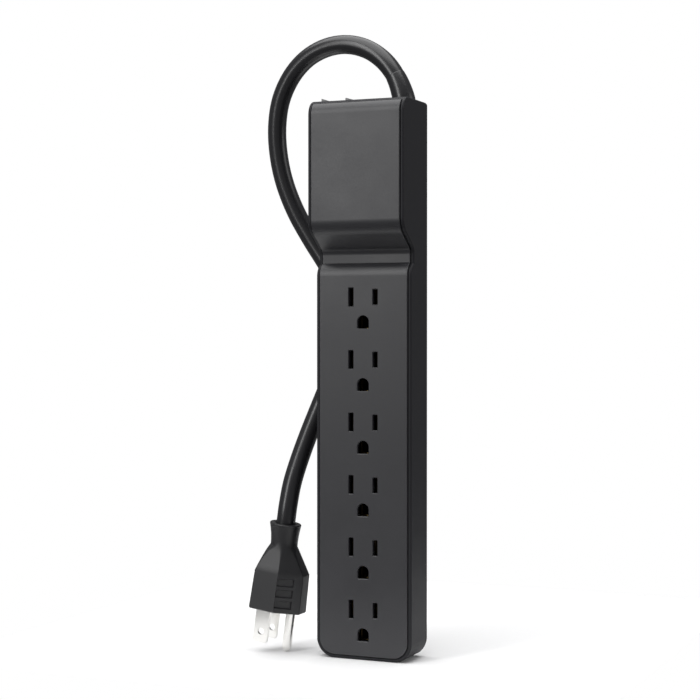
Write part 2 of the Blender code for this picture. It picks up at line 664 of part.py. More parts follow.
def ground_bus():
    gap = PIN_R + 0.1
    bottom = OUTLET_TOP_Z - (OUTLETS - 1) * OUTLET_PITCH - GROUND_DROP - 4.0
    bus = add_object("ground_bus_bar", box((gap, CLIP_FRONT, bottom), (gap + STRIP, CLIP_BACK, BUS_TOP)), "brass")
    clips = []
    for k in range(OUTLETS):
        z = OUTLET_TOP_Z - k * OUTLET_PITCH - GROUND_DROP
        clips.append(box((-gap - STRIP, CLIP_FRONT, z - 4.2), (-gap, CLIP_BACK, z + 3.5)))
        clips.append(box((-gap - STRIP + 0.1, CLIP_FRONT + 0.4, z - 3.9), (gap + STRIP - 0.1, CLIP_BACK - 0.4, z - 3.2)))
    combine(bus, union_of("ground_bus_bar", clips), "UNION")


def bus_holders():
    """Combs that keep the three strips apart between outlets."""
    x_blade = BLADE_SPACING / 2 + 0.85
    x_ground = PIN_R + 0.1
    for name, below in (("bus_holder_top", 0), ("bus_holder_middle", 2), ("bus_holder_bottom", 4)):
        z = OUTLET_TOP_Z - below * OUTLET_PITCH - 21.0
        comb = add_object(name, box((-10.5, DECK_Y + 5.0, z - 2), (10.5, BACK_Y - REAR_THICK - GAP, z + 2)), "insulator")
        slots = []
        for low in (-x_blade - STRIP, x_ground, x_blade):
            slots.append(box((low - GAP, DECK_Y + 4, z - 4), (low + STRIP + GAP, CLIP_BACK + GAP, z + 4)))
        combine(comb, merge(*slots))


# ---- surge board and wires -----------------------------------------------
def surge_board():
    board_y = BACK_Y - REAR_THICK - 3.4
    add_object("surge_board", box((-14.4, board_y, 203.0), (14.4, board_y + 1.6, 245.0)), "board")
    front = board_y - GAP
    for k, (x, z) in enumerate(((-7.2, 211.0), (7.2, 211.0), (-7.2, 225.5)), 1):
        profile = [(5.6, front - 4.4), (6.6, front - 3.6), (6.6, front - 0.8), (5.6, front)]
        add_object(f"varistor_{k}", turned(profile, (x, 0, z), (0, 1, 0), 20), "varistor_blue")
    fuse = turned([(1.2, -6.0), (2.0, -5.2), (2.0, 5.2), (1.2, 6.0)], (-6.5, front - 2.2, 239.0), (1, 0, 0), 14)
    add_object("thermal_fuse", fuse, "steel")
    add_object("filter_capacitor", box((0.4, front - 6.5, 221.0), (12.4, front, 231.0)), "insulator")


def wires():
    """Cord cores to the switch and the strips, held clear of every other piece."""
    bus_y = (CLIP_FRONT + CLIP_BACK) / 2
    blade_x = BLADE_SPACING / 2 + 0.85 + STRIP / 2
    ground_x = PIN_R + 0.1 + STRIP / 2
    tab_z = 242.4
    end_z = BUS_TOP + 0.35
    routes = {
        "line_wire": ("wire_black", [(15.1, 6.6, 245.2), (15.1, 6.6, 242.5), (13.0, 0.0, 238.5), (6.0, -6.0, 236.5),
                                     (-6.0, -7.5, 236.0), (-15.0, -6.2, 236.8), (-19.0, -4.7, 238.6),
                                     (ROCKER_X - 3.4, ROCKER_Y, 240.4), (ROCKER_X - 3.4, ROCKER_Y, tab_z)]),
        "switched_wire": ("wire_black", [(ROCKER_X + 3.4, ROCKER_Y, tab_z), (ROCKER_X + 3.4, ROCKER_Y, 240.6), (-12.0, 0.0, 236.0),
                                         (-9.5, 0.5, 229.0), (-2.0, -3.0, 219.0), (4.0, -3.2, 210.0),
                                         (7.2, 0.2, 202.5), (blade_x, 3.2, 196.0), (blade_x, bus_y, 190.5),
                                         (blade_x, bus_y, end_z)]),
        "neutral_wire": ("wire_white", [(18.9, 6.6, 245.2), (18.9, 6.6, 242.5), (17.2, -0.5, 238.0), (13.5, -6.5, 231.0),
                                        (5.0, -8.0, 221.5), (-3.0, -6.5, 212.0), (-7.0, -0.8, 204.0),
                                        (-blade_x, 3.2, 197.0), (-blade_x, bus_y, 190.5), (-blade_x, bus_y, end_z)]),
        "ground_wire": ("wire_green", [(17.1, 10.2, 245.2), (17.1, 10.2, 242.5), (16.4, 6.5, 236.0), (13.0, 2.6, 229.0),
                                       (12.0, 2.4, 219.0), (10.5, 3.8, 210.0), (5.8, 4.6, 201.0),
                                       (ground_x, 4.0, 194.5), (ground_x, bus_y, 190.0), (ground_x, bus_y, end_z)]),
    }
    for name, (finish, points) in routes.items():
        tube(name, smooth_route(points, 5.0), 1.25, finish, 2)


def build():
    clear_scene()
    body_shell()
    front_cover()
    rear_cover()
    cover_screws()
    switch_frame()
    rocker()
    breaker()
    cord()
    plug_body()
    blade("neutral_blade", -BLADE_SPACING / 2, NEUTRAL_BLADE)
    blade("hot_blade", BLADE_SPACING / 2, HOT_BLADE)
    ground_pin()
    blade_bus("hot_bus_bar", 1)
    blade_bus("neutral_bus_bar", -1)
    ground_bus()
    bus_holders()
    surge_board()
    wires()


build()
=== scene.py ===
"""Surge protector strip with its mains lead and plug, on the packed frame of the part."""

import json
from math import asin, atan2, cos, hypot, pi, radians, sin, tan
from types import SimpleNamespace

import bmesh
import bpy
from bpy.props import FloatProperty, FloatVectorProperty, IntProperty, PointerProperty
from mathutils import Matrix, Vector


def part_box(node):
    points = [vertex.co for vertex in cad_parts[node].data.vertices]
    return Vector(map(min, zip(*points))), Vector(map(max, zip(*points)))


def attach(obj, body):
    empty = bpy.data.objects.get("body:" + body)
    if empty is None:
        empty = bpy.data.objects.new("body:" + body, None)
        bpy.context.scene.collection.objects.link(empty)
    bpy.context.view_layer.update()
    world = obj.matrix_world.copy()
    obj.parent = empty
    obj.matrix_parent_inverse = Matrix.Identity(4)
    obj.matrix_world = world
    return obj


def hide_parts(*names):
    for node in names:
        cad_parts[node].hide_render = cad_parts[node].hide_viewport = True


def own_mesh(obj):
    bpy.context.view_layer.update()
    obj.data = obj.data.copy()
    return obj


bl_info = {
    "name": "Surge protector strip",
    "version": (1, 0, 0),
    "blender": (4, 5, 0),
    "location": "View3D > Sidebar > Surge strip",
    "description": "Makes a six-outlet surge protector strip with its lead and plug",
    "category": "Object",
}

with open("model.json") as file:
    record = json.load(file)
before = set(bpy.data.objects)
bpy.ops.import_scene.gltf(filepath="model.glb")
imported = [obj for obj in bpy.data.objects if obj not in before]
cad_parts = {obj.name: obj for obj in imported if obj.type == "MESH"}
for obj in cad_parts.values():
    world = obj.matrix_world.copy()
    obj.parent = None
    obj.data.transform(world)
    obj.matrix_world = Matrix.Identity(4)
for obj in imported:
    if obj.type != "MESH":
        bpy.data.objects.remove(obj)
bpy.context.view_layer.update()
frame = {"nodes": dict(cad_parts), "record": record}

MM = 0.001
HOUSING = "housing"
ROCKER = "rocker"
BUTTON = "reset_button"
SCREWS = [f"cover_screw_{k}" for k in range(1, 7)]

# Sizes in millimetres that more than one piece shares.
HINGE_PIN_RADIUS = 0.95
HINGE_HOLE_RADIUS = 1.03
GROUND_PIN_TIP_X = -43.9
PLUG_MIDDLE_X = 5.8
PLUG_SLANT_DEG = 54.8

# The lead's middle line, from inside the head to inside the plug's collar, in metres.
LEAD_ROUTE = [
    (0.0171, 0.0076, 0.2460), (0.0171, 0.0076, 0.2560), (0.0169, 0.0077, 0.2650),
    (0.0155, 0.0080, 0.2745), (0.0113, 0.0084, 0.2848), (0.0044, 0.0089, 0.2934),
    (-0.0051, 0.0097, 0.2996), (-0.0163, 0.0107, 0.3025), (-0.0279, 0.0118, 0.3016),
    (-0.0388, 0.0130, 0.2970), (-0.0479, 0.0143, 0.2887), (-0.0544, 0.0157, 0.2773),
    (-0.0573, 0.0173, 0.2639), (-0.0572, 0.0190, 0.2496), (-0.0544, 0.0205, 0.2352),
    (-0.0486, 0.0219, 0.2204), (-0.0403, 0.0230, 0.2060), (-0.0314, 0.0237, 0.1922),
    (-0.0249, 0.0239, 0.1786), (-0.0224, 0.0238, 0.1646), (-0.0244, 0.0233, 0.1502),
    (-0.0290, 0.0218, 0.1366), (-0.0336, 0.0186, 0.1230), (-0.0374, 0.0138, 0.1096),
    (-0.0402, 0.0082, 0.0966), (-0.0420, 0.0030, 0.0846), (-0.0429, 0.0000, 0.0740),
    (-0.0436, -0.00075, 0.0670), (-0.0443, -0.00075, 0.0619),
]


# ---- sizes and colours ---------------------------------------------------
def linear(code):
    """An sRGB hex colour as linear red, green and blue."""
    channels = [int(code[i:i + 2], 16) / 255 for i in (1, 3, 5)]
    return tuple(c / 12.92 if c <= 0.04045 else ((c + 0.055) / 1.055) ** 2.4 for c in channels)


def length(name, default_mm, description):
    return FloatProperty(name=name, description=description, default=default_mm * MM, min=0.0,
                         subtype="DISTANCE", unit="LENGTH", precision=4)


def colour(name, code, description):
    return FloatVectorProperty(name=name, description=description, default=linear(code), size=3,
                               min=0.0, max=1.0, subtype="COLOR")


class SurgeStripHousing(bpy.types.PropertyGroup):
    width: length("Width", 50.0, "Across the outlet face")
    tall: length("Length", 272.0, "From the foot to the switch end")
    deck_depth: length("Deck depth", 22.5, "Outlet face to back")
    head_rise: length("Head rise", 10.3, "How far the head stands over the outlet face")
    wall: length("Wall", 2.0, "Thickness of the shell's walls")
    cover_thick: length("Cover", 2.4, "Thickness of the front cover")
    rear_thick: length("Rear cover", 1.5, "Thickness of the rear cover")
    gap: length("Parting gap", 0.3, "Air between shell and covers")
    seam: length("Seam", 0.4, "Groove round the front cover")
    inset: length("Cover inset", 1.9, "Front cover's edge to the shell's side")
    proud: length("Cover proud", 0.7, "Front cover's face above the shell's shoulder")
    shoulder: length("Shoulder", 1.4, "Rounding of the shell's front edge")
    foot_corner: length("Foot corners", 9.5, "Radius of the two lower corners")


class SurgeStripOutlets(bpy.types.PropertyGroup):
    count: IntProperty(name="Outlets", description="How many outlets there are", default=6, min=1, max=12)
    pitch: length("Pitch", 30.45, "From one outlet to the next")
    top: length("Top outlet", 176.8, "Height of the top outlet's blade slots")
    blades_apart: length("Blade spacing", 12.7, "Between the two blade slots")
    ground_drop: length("Ground drop", 11.9, "Blade slots to the ground hole")
    slot_wide: length("Slot width", 2.3, "Width of both blade slots")
    neutral_tall: length("Neutral slot", 9.0, "Height of the wide slot")
    hot_tall: length("Hot slot", 7.5, "Height of the narrow slot")
    ground_radius: length("Ground hole", 2.85, "Radius of the ground hole's round top")
    ground_low: length("Ground hole foot", 3.4, "Flat foot of the ground hole below its middle")
    lip: length("Lip", 0.35, "Chamfer round every opening")


class SurgeStripSwitch(bpy.types.PropertyGroup):
    rocker_half: length("Rocker half width", 5.3, "Half of the rocker, along the strip's width")
    rocker_deep: length("Rocker half depth", 4.3, "Half of the rocker, front to back")
    tilt: FloatProperty(name="Rocker tilt", description="Resting tilt of the rocker", default=radians(12),
                        subtype="ANGLE", unit="ROTATION")
    dish: length("Rocker dish", 0.6, "How far the rocker's top is hollowed")
    spring_wire: length("Spring wire", 0.2, "Radius of the reset spring's wire")
    spring_slack: length("Spring slack", 0.05, "Air over the pressed spring")
    spring_turns: IntProperty(name="Spring turns", description="Turns of the reset spring",
                              default=3, min=2, max=8)


class SurgeStripLead(bpy.types.PropertyGroup):
    thick: length("Lead", 9.4, "Diameter of the three-core lead")
    sleeve: length("Sleeve root", 5.6, "Radius of the strain relief where it leaves the head")
    sleeve_tip: length("Sleeve tip", 4.82, "Radius of the strain relief at its end")
    sleeve_span: length("Sleeve length", 40.0, "Length of the strain relief along the lead")


class SurgeStripPlug(bpy.types.PropertyGroup):
    tilt: FloatProperty(name="Lean", description="Lean of the plug to the left of the strip",
                        default=radians(8), subtype="ANGLE", unit="ROTATION")
    tall: length("Body", 43.3, "Plug face to collar")
    blade_long: length("Blade length", 17.0, "How far the blades stand out")
    blade_thick: length("Blade thickness", 1.5, "Thickness of both blades")
    neutral_wide: length("Neutral blade", 7.9, "Width of the wide blade")
    hot_wide: length("Hot blade", 6.35, "Width of the narrow blade")
    pin_radius: length("Pin radius", 2.38, "Radius of the ground pin")
    pin_long: length("Pin length", 20.2, "How far the ground pin stands out")
    pocket: length("Root pocket", 3.0, "Depth of the pockets round the pins' roots")
    cord_side: length("Cord offset", 2.9, "Lead's line off the blades' line")


class SurgeStripFinish(bpy.types.PropertyGroup):
    face: colour("Front cover", "#2C2C2F", "Black ABS of the front cover")
    # The shell's black is a darker copy of the front cover's ABS: painted shade for the sides.
    shell: colour("Shell", "#242427", "Black ABS of the shell and rear cover")
    switch: colour("Switch", "#17171A", "Black polycarbonate of the rocker and button")
    jacket: colour("Lead", "#202022", "Black PVC of the lead")
    plug: colour("Plug", "#19191B", "Black PVC of the plug")
    nickel: colour("Blades", "#F3F2EF", "Nickel plate of the blades")
    # The contacts' brass is darkened well below real brass: painted shade for the depth of the slots.
    brass: colour("Contacts", "#7C6B48", "Brass of the contact strips")
    zinc: colour("Screws", "#B9BCC0", "Zinc plate of the screws")


GROUPS = {
    "strip_housing": SurgeStripHousing,
    "strip_outlets": SurgeStripOutlets,
    "strip_switch": SurgeStripSwitch,
    "strip_lead": SurgeStripLead,
    "strip_plug": SurgeStripPlug,
    "strip_finish": SurgeStripFinish,
}


def sizes(name):
    """The sizes of a property group in millimetres; counts and angles stay as they are."""
    group = getattr(bpy.context.scene, "strip_" + name)
    found = {}
    for key, prop in group.bl_rna.properties.items():
        if prop.type in {"FLOAT", "INT"} and not getattr(prop, "is_array", False):
            value = getattr(group, key)
            found[key] = value / MM if prop.unit == "LENGTH" else value
    return SimpleNamespace(**found)


def tint_of(name):
    return getattr(bpy.context.scene.strip_finish, name)


# ---- materials -----------------------------------------------------------
def add_node(tree, kind, settings=(), links=()):
    """A node with its properties or input values set and its inputs linked."""
    node = tree.nodes.new(kind)
    for key, value in dict(settings).items():
        if key in node.inputs:
            node.inputs[key].default_value = value
        else:
            setattr(node, key, value)
    for key, socket in dict(links).items():
        tree.links.new(socket, node.inputs[key])
    return node


def blank_material(name, **values):
    """A material with a principled shader holding the given constants, and its object coordinates."""
    made = bpy.data.materials.get(name) or bpy.data.materials.new(name)
    made.use_nodes = True
    tree = made.node_tree
    shader = tree.nodes["Principled BSDF"]
    for node in list(tree.nodes):
        if node != shader and node.type != "OUTPUT_MATERIAL":
            tree.nodes.remove(node)
    for key, value in values.items():
        shader.inputs[key.replace("_", " ")].default_value = value
    place = add_node(tree, "ShaderNodeTexCoord").outputs["Object"]
    return made, tree, shader, place


def scaled(tint, amount):
    return tuple(c * amount for c in tint[:3]) + (1.0,)


def mixed(tree, factor, low, high):
    """Socket of two colours mixed by a factor."""
    shade = add_node(tree, "ShaderNodeMix", {"data_type": "RGBA"}, {"Factor": factor})
    shade.inputs[6].default_value = low
    shade.inputs[7].default_value = high
    return shade.outputs[2]


def feed(tree, shader, **sockets):
    for key, socket in sockets.items():
        tree.links.new(socket, shader.inputs[key.replace("_", " ")])


def grained_plastic(name, tint, roughness, grain_mm, grain_deep_mm, spread=0.06, ior=1.52, level=0.5):
    """Moulded black plastic: a spark-eroded grain, slightly uneven sheen and a faint flow mottle."""
    made, tree, shader, place = blank_material(name, IOR=ior, Specular_IOR_Level=level)
    grain = add_node(tree, "ShaderNodeTexNoise", {"Scale": 1 / (grain_mm * MM), "Detail": 3.0,
                                                "Roughness": 0.6}, {"Vector": place})
    flow = add_node(tree, "ShaderNodeTexNoise", {"Scale": 38.0, "Detail": 4.0, "Roughness": 0.55},
                    {"Vector": place})
    both = add_node(tree, "ShaderNodeMath", {"operation": "ADD"},
                    {0: grain.outputs["Fac"], 1: flow.outputs["Fac"]})
    sheen = add_node(tree, "ShaderNodeMapRange",
                     {"From Min": 0.6, "From Max": 1.4, "To Min": roughness - spread,
                      "To Max": roughness + spread}, {"Value": both.outputs[0]})
    bump = add_node(tree, "ShaderNodeBump", {"Strength": 0.35, "Distance": grain_deep_mm * MM},
                    {"Height": grain.outputs["Fac"]})
    feed(tree, shader, Roughness=sheen.outputs["Result"], Normal=bump.outputs["Normal"],
         Base_Color=mixed(tree, flow.outputs["Fac"], scaled(tint, 0.86), scaled(tint, 1.14)))
    return made


def drawn_metal(name, tint, roughness, streak_mm, along):
    """Rolled or plated metal: fine streaks along the piece that stretch its highlights."""
    made, tree, shader, place = blank_material(name, Metallic=1.0)
    stretch = [1 / (streak_mm * MM)] * 3
    stretch[along] /= 30
    mapped = add_node(tree, "ShaderNodeMapping", {"Scale": stretch}, {"Vector": place})
    streaks = add_node(tree, "ShaderNodeTexNoise", {"Scale": 1.0, "Detail": 3.0},
                       {"Vector": mapped.outputs[0]})
    sheen = add_node(tree, "ShaderNodeMapRange", {"To Min": roughness - 0.07, "To Max": roughness + 0.09},
                     {"Value": streaks.outputs["Fac"]})
    bump = add_node(tree, "ShaderNodeBump", {"Strength": 0.15, "Distance": 0.02 * MM},
                    {"Height": streaks.outputs["Fac"]})
    feed(tree, shader, Roughness=sheen.outputs["Result"], Normal=bump.outputs["Normal"],
         Base_Color=mixed(tree, streaks.outputs["Fac"], scaled(tint, 0.90), scaled(tint, 1.04)))
    return made


def abs_front_cover():
    # Satin injection-moulded ABS: a soft, even grey sheen.
    return grained_plastic("abs_moulded_satin_face", tint_of("face"), 0.40, 0.45, 0.010)


def abs_shell_painted_shade():
    # The same ABS from a slightly rougher tool, tinted darker and given a duller reflection than the face so
    # the sides stay darker: painted shade.
    return grained_plastic("abs_moulded_shell", tint_of("shell"), 0.50, 0.5, 0.015, level=0.18)


def polycarbonate_switch():
    # Polished polycarbonate: a tighter highlight on the rocker and the button.
    return grained_plastic("polycarbonate_polished_switch", tint_of("switch"), 0.28, 0.8, 0.004, 0.03, 1.58)


def pvc_jacket():
    # Extruded PVC: a crisp line of light along the lead, with a slow waviness from the extruder.
    return grained_plastic("pvc_extruded_jacket", tint_of("jacket"), 0.29, 9.0, 0.004, 0.02, 1.53)


def pvc_plug():
    # Over-moulded PVC from a textured tool: matt facets with soft edges.
    return grained_plastic("pvc_moulded_plug", tint_of("plug"), 0.44, 0.4, 0.010, 0.04, 1.53)


def nickel_blade():
    # Nickel-plated brass: bright, with rolling marks along the blades.
    return drawn_metal("nickel_plated_brass", tint_of("nickel"), 0.22, 0.25, 2)


def brass_contact_painted_shade():
    # Stamped half-hard brass, tinted far darker than real brass so the contacts deep in the slots come out
    # dark: painted shade, with a warm glint.
    return drawn_metal("brass_stamped_strip", tint_of("brass"), 0.34, 0.3, 2)


def zinc_screw():
    # Clear zinc plate on steel: a cool, slightly dull head.
    return drawn_metal("steel_zinc_plated", tint_of("zinc"), 0.36, 0.3, 0)


def spring_steel():
    # Music wire: dark and shiny.
    return drawn_metal("steel_spring_wire", linear("#8C8F94"), 0.30, 0.2, 2)


def natural_nylon():
    # Unpigmented nylon: creamy and a little waxy.
    return grained_plastic("nylon_moulded_natural", linear("#CDC6B4"), 0.5, 0.6, 0.02, 0.06, 1.53)


def dipped_epoxy():
    # Dipped epoxy coat: glossy blue with an uneven skin.
    return grained_plastic("epoxy_dipped_blue", linear("#24407E"), 0.3, 1.8, 0.08, 0.06, 1.5)


def core_insulation(name, code):
    # PVC core insulation: smooth and slightly glossy.
    return grained_plastic(name, linear(code), 0.36, 1.2, 0.02, 0.04, 1.53)


def printed_board():
    # Glass laminate under green solder mask: straight copper tracks show through as a lighter green.
    made, tree, shader, place = blank_material("laminate_green_solder_mask", IOR=1.5)
    spread = add_node(tree, "ShaderNodeMapping", {"Rotation": (radians(90), 0.0, 0.0)}, {"Vector": place})
    tracks = add_node(tree, "ShaderNodeTexBrick", {"Scale": 90.0, "Mortar Size": 0.09, "Mortar Smooth": 0.15,
                                                   "Brick Width": 1.1, "Row Height": 0.5},
                      {"Vector": spread.outputs[0]})
    tracks.inputs["Color1"].default_value = (*linear("#14562F"), 1.0)
    tracks.inputs["Color2"].default_value = (*linear("#1A6236"), 1.0)
    tracks.inputs["Mortar"].default_value = (*linear("#2F8A4F"), 1.0)
    bump = add_node(tree, "ShaderNodeBump", {"Strength": 0.4, "Distance": 0.03 * MM},
                    {"Height": tracks.outputs["Fac"]})
    shader.inputs["Roughness"].default_value = 0.35
    feed(tree, shader, Base_Color=tracks.outputs["Color"], Normal=bump.outputs["Normal"])
    return made


def paper_sweep():
    # Seamless studio paper: matt white with a barely visible tooth.
    made, tree, shader, place = blank_material("paper_seamless_white", Roughness=0.95)
    tooth = add_node(tree, "ShaderNodeTexNoise", {"Scale": 400.0, "Detail": 2.0}, {"Vector": place})
    pale, paler = scaled(linear("#F7F7F7"), 1.0), scaled(linear("#FCFCFC"), 1.0)
    feed(tree, shader, Base_Color=mixed(tree, tooth.outputs["Fac"], pale, paler))
    return made


# ---- shapes --------------------------------------------------------------
def arc(centre, radius, start, end, steps):
    """Points on an arc in degrees, from the first axis towards the second."""
    turn = [radians(start + (end - start) * i / steps) for i in range(steps + 1)]
    return [(centre[0] + radius * cos(t), centre[1] + radius * sin(t)) for t in turn]


def loft(rings):
    """Closed solid through rings that all have the same number of points."""
    bm = bmesh.new()
    made = [[bm.verts.new(p) for p in ring] for ring in rings]
    count = len(made[0])
    for a, b in zip(made, made[1:]):
        for k in range(count):
            n = (k + 1) % count
            bm.faces.new((a[k], a[n], b[n], b[k]))
    bm.faces.new(made[0])
    bm.faces.new(reversed(made[-1]))
    bmesh.ops.recalc_face_normals(bm, faces=bm.faces)
    return bm


def prism(points, low, high, axis):
    """Outline extruded along one axis; its points are in the other two, in X, Y, Z order."""
    place = {"X": lambda a, b, c: (c, a, b), "Y": lambda a, b, c: (a, c, b),
             "Z": lambda a, b, c: (a, b, c)}[axis]
    return loft([[place(a, b, low) for a, b in points], [place(a, b, high) for a, b in points]])


def box(low, high):
    corners = [(low[0], low[1]), (high[0], low[1]), (high[0], high[1]), (low[0], high[1])]
    return prism(corners, low[2], high[2], "Z")


def turned(profile, centre, axis, steps):
    """Solid of revolution from (radius, distance along the axis) pairs."""
    rings = []
    for radius, along in profile:
        rings.append([(radius * cos(2 * pi * k / steps), radius * sin(2 * pi * k / steps), along)
                      for k in range(steps)])
    bm = loft(rings)
    turn = Vector((0, 0, 1)).rotation_difference(Vector(axis)).to_matrix().to_4x4()
    bmesh.ops.transform(bm, matrix=Matrix.Translation(centre) @ turn, verts=bm.verts)
    return bm


def merge(*shapes):
    whole = bmesh.new()
    for shape in shapes:
        mesh = bpy.data.meshes.new("shape")
        shape.to_mesh(mesh)
        shape.free()
        whole.from_mesh(mesh)
        bpy.data.meshes.remove(mesh)
    return whole


def remove_old(name):
    """Remove what a step made before, so the step can run again."""
    old = bpy.data.objects.get(name)
    if old:
        bpy.data.objects.remove(old, do_unlink=True)


def keep(name, bm, material=None):
    """A millimetre shape as an object in metres at the origin."""
    remove_old(name)
    bmesh.ops.scale(bm, verts=bm.verts, vec=(MM, MM, MM))
    mesh = bpy.data.meshes.new(name)
    bm.to_mesh(mesh)
    bm.free()
    obj = bpy.data.objects.new(name, mesh)
    bpy.context.scene.collection.objects.link(obj)
    if material:
        mesh.materials.append(material)
    return obj


def applied(obj):
    """Turn an object's modifiers into its mesh."""
    graph = bpy.context.evaluated_depsgraph_get()
    mesh = bpy.data.meshes.new_from_object(obj.evaluated_get(graph), depsgraph=graph)
    obj.modifiers.clear()
    obj.data = mesh
    return obj


def rounded_edges(obj, width, segments, angle=30):
    """Round the edges that turn by more than an angle, by a width in millimetres."""
    rounding = obj.modifiers.new("soft edges", "BEVEL")
    rounding.width = width * MM
    rounding.segments = segments
    rounding.angle_limit = radians(angle)
    return applied(obj)


def combine(obj, tool, operation="DIFFERENCE"):
    """Cut a shape or an object out of an object, or join it on."""
    cutter = tool if isinstance(tool, bpy.types.Object) else keep(obj.name + "_tool", tool)
    step = obj.modifiers.new("step", "BOOLEAN")
    step.operation = operation
    step.object = cutter
    step.solver = "EXACT"
    applied(obj)
    bpy.data.objects.remove(cutter, do_unlink=True)
    return obj


def finished(obj, body, *nodes, crease=35):
    """Smooth the flowing faces, keep the flat ones flat, and put the piece in its node's place."""
    obj.data.shade_smooth()
    obj.data.set_sharp_from_angle(angle=radians(crease))
    weighted = obj.modifiers.new("flat faces stay flat", "WEIGHTED_NORMAL")
    weighted.keep_sharp = True
    weighted.weight = 100
    if body:
        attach(obj, body)
    if nodes:
        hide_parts(*nodes)
    return obj


def piece_at_points(name, template, places, turn, finish):
    """Copies of a template at points, made by Geometry Nodes and kept as one plain mesh."""
    tree = bpy.data.node_groups.new(name + "_layout", "GeometryNodeTree")
    sockets = (("Points", "NodeSocketGeometry"), ("Piece", "NodeSocketObject"), ("Size", "NodeSocketFloat"),
               ("Turn", "NodeSocketRotation"), ("Finish", "NodeSocketMaterial"))
    for label, kind in sockets:
        tree.interface.new_socket(name=label, in_out="INPUT", socket_type=kind)
    tree.interface.new_socket(name="Pieces", in_out="OUTPUT", socket_type="NodeSocketGeometry")
    given = add_node(tree, "NodeGroupInput").outputs
    points = add_node(tree, "GeometryNodeMeshToPoints", links={"Mesh": given["Points"]})
    source = add_node(tree, "GeometryNodeObjectInfo", links={"Object": given["Piece"]})
    copies = add_node(tree, "GeometryNodeInstanceOnPoints", links={
        "Points": points.outputs[0], "Instance": source.outputs["Geometry"],
        "Rotation": given["Turn"], "Scale": given["Size"]})
    real = add_node(tree, "GeometryNodeRealizeInstances", links={"Geometry": copies.outputs[0]})
    coat = add_node(tree, "GeometryNodeSetMaterial", links={
        "Geometry": real.outputs[0], "Material": given["Finish"]})
    add_node(tree, "NodeGroupOutput", links={"Pieces": coat.outputs[0]})
    marks = bmesh.new()
    for place in places:
        marks.verts.new(place)
    obj = keep(name, marks)
    layout = obj.modifiers.new("layout", "NODES")
    layout.node_group = tree
    values = {"Piece": template, "Size": 1.0, "Turn": turn, "Finish": finish}
    for item in tree.interface.items_tree:
        if item.in_out == "INPUT" and item.name in values:
            layout[item.identifier] = values[item.name]
    applied(obj)
    bpy.data.objects.remove(template, do_unlink=True)
    return obj


# ---- housing -------------------------------------------------------------
def node_box(name):
    """Low and high corner of a frame node, in millimetres."""
    return (Vector(corner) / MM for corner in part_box(name))


def joint(kind):
    """The record's joint of a kind, hinge or slide."""
    return next(j for j in frame["record"]["behaviour"]["joints"] if j["type"] == kind)


def strip_lines():
    """Working dimensions of the housing, in millimetres, from its property group."""
    h = sizes("housing")
    h.depth = h.deck_depth + h.head_rise
    h.back_y = h.depth / 2
    h.head_y = -h.depth / 2
    h.deck_y = h.head_y + h.head_rise
    h.deck_top_z, h.deck_top_r = 187.0, 7.4
    h.valley = 3.65
    h.ramp_foot_z, h.ramp_foot_r = 197.2, 4.0
    h.ramp_top_z, h.ramp_top_r = 214.0, 9.2
    h.head_top_r = 7.0
    h.cover_end = 52.0
    return h


def front_line(h, inset):
    """Side view (Y, Z) of the front, foot to head, moved into the body by inset."""
    valley_y = h.deck_y + h.valley
    dy = h.head_y + h.ramp_top_r - valley_y + h.ramp_foot_r
    dz = h.ramp_top_z - h.ramp_foot_z
    ramp = (asin((h.ramp_top_r + h.ramp_foot_r) / hypot(dy, dz)) - atan2(dy, dz)) * 180 / pi
    edge_r = h.deck_top_r - inset
    crease = h.deck_top_r - h.valley - inset
    turn = 180 / pi * atan2((edge_r ** 2 - crease ** 2) ** 0.5, crease)
    points = [(h.deck_y + inset, 0.0)]
    points += arc((h.deck_y + h.deck_top_r, h.deck_top_z), edge_r, 180, 180 - turn, 14)
    points += arc((valley_y - h.ramp_foot_r, h.ramp_foot_z), h.ramp_foot_r + inset, 0, ramp, 12)
    points += arc((h.head_y + h.ramp_top_r, h.ramp_top_z), h.ramp_top_r - inset, 180 + ramp, 180, 16)
    return points


def head_rounding(h, inset, start, end, steps):
    centre = (h.head_y + h.head_top_r, h.tall - h.head_top_r)
    return arc(centre, h.head_top_r - inset, 180 - start, 180 - end, steps)


def from_foot(line, foot_z):
    return [(line[0][0], foot_z)] + line[1:]


def near_line(point, line, reach=0.01):
    for (ay, az), (by, bz) in zip(line, line[1:]):
        dy, dz = by - ay, bz - az
        span = dy * dy + dz * dz
        if span == 0:
            continue
        t = max(0.0, min(1.0, ((point.y - ay) * dy + (point.z - az) * dz) / span))
        if hypot(point.y - ay - t * dy, point.z - az - t * dz) < reach:
            return True
    return False


def round_foot(bm, foot_z, radius, segments=14):
    corners = []
    for edge in bm.edges:
        a, b = (v.co for v in edge.verts)
        if abs(a.x - b.x) < 0.01 and abs(a.z - foot_z) < 0.01 and abs(b.z - foot_z) < 0.01:
            corners.append(edge)
    bmesh.ops.bevel(bm, geom=corners, offset=radius, segments=segments, profile=0.5, affect="EDGES")


def soften_rim(bm, line, amount, segments):
    rim = []
    for edge in bm.edges:
        if len(edge.link_faces) == 2 and all(near_line(v.co, line) for v in edge.verts):
            if edge.calc_face_angle(0.0) > radians(70):
                rim.append(edge)
    bmesh.ops.bevel(bm, geom=rim, offset=amount, segments=segments, profile=0.5,
                     affect="EDGES", clamp_overlap=True)


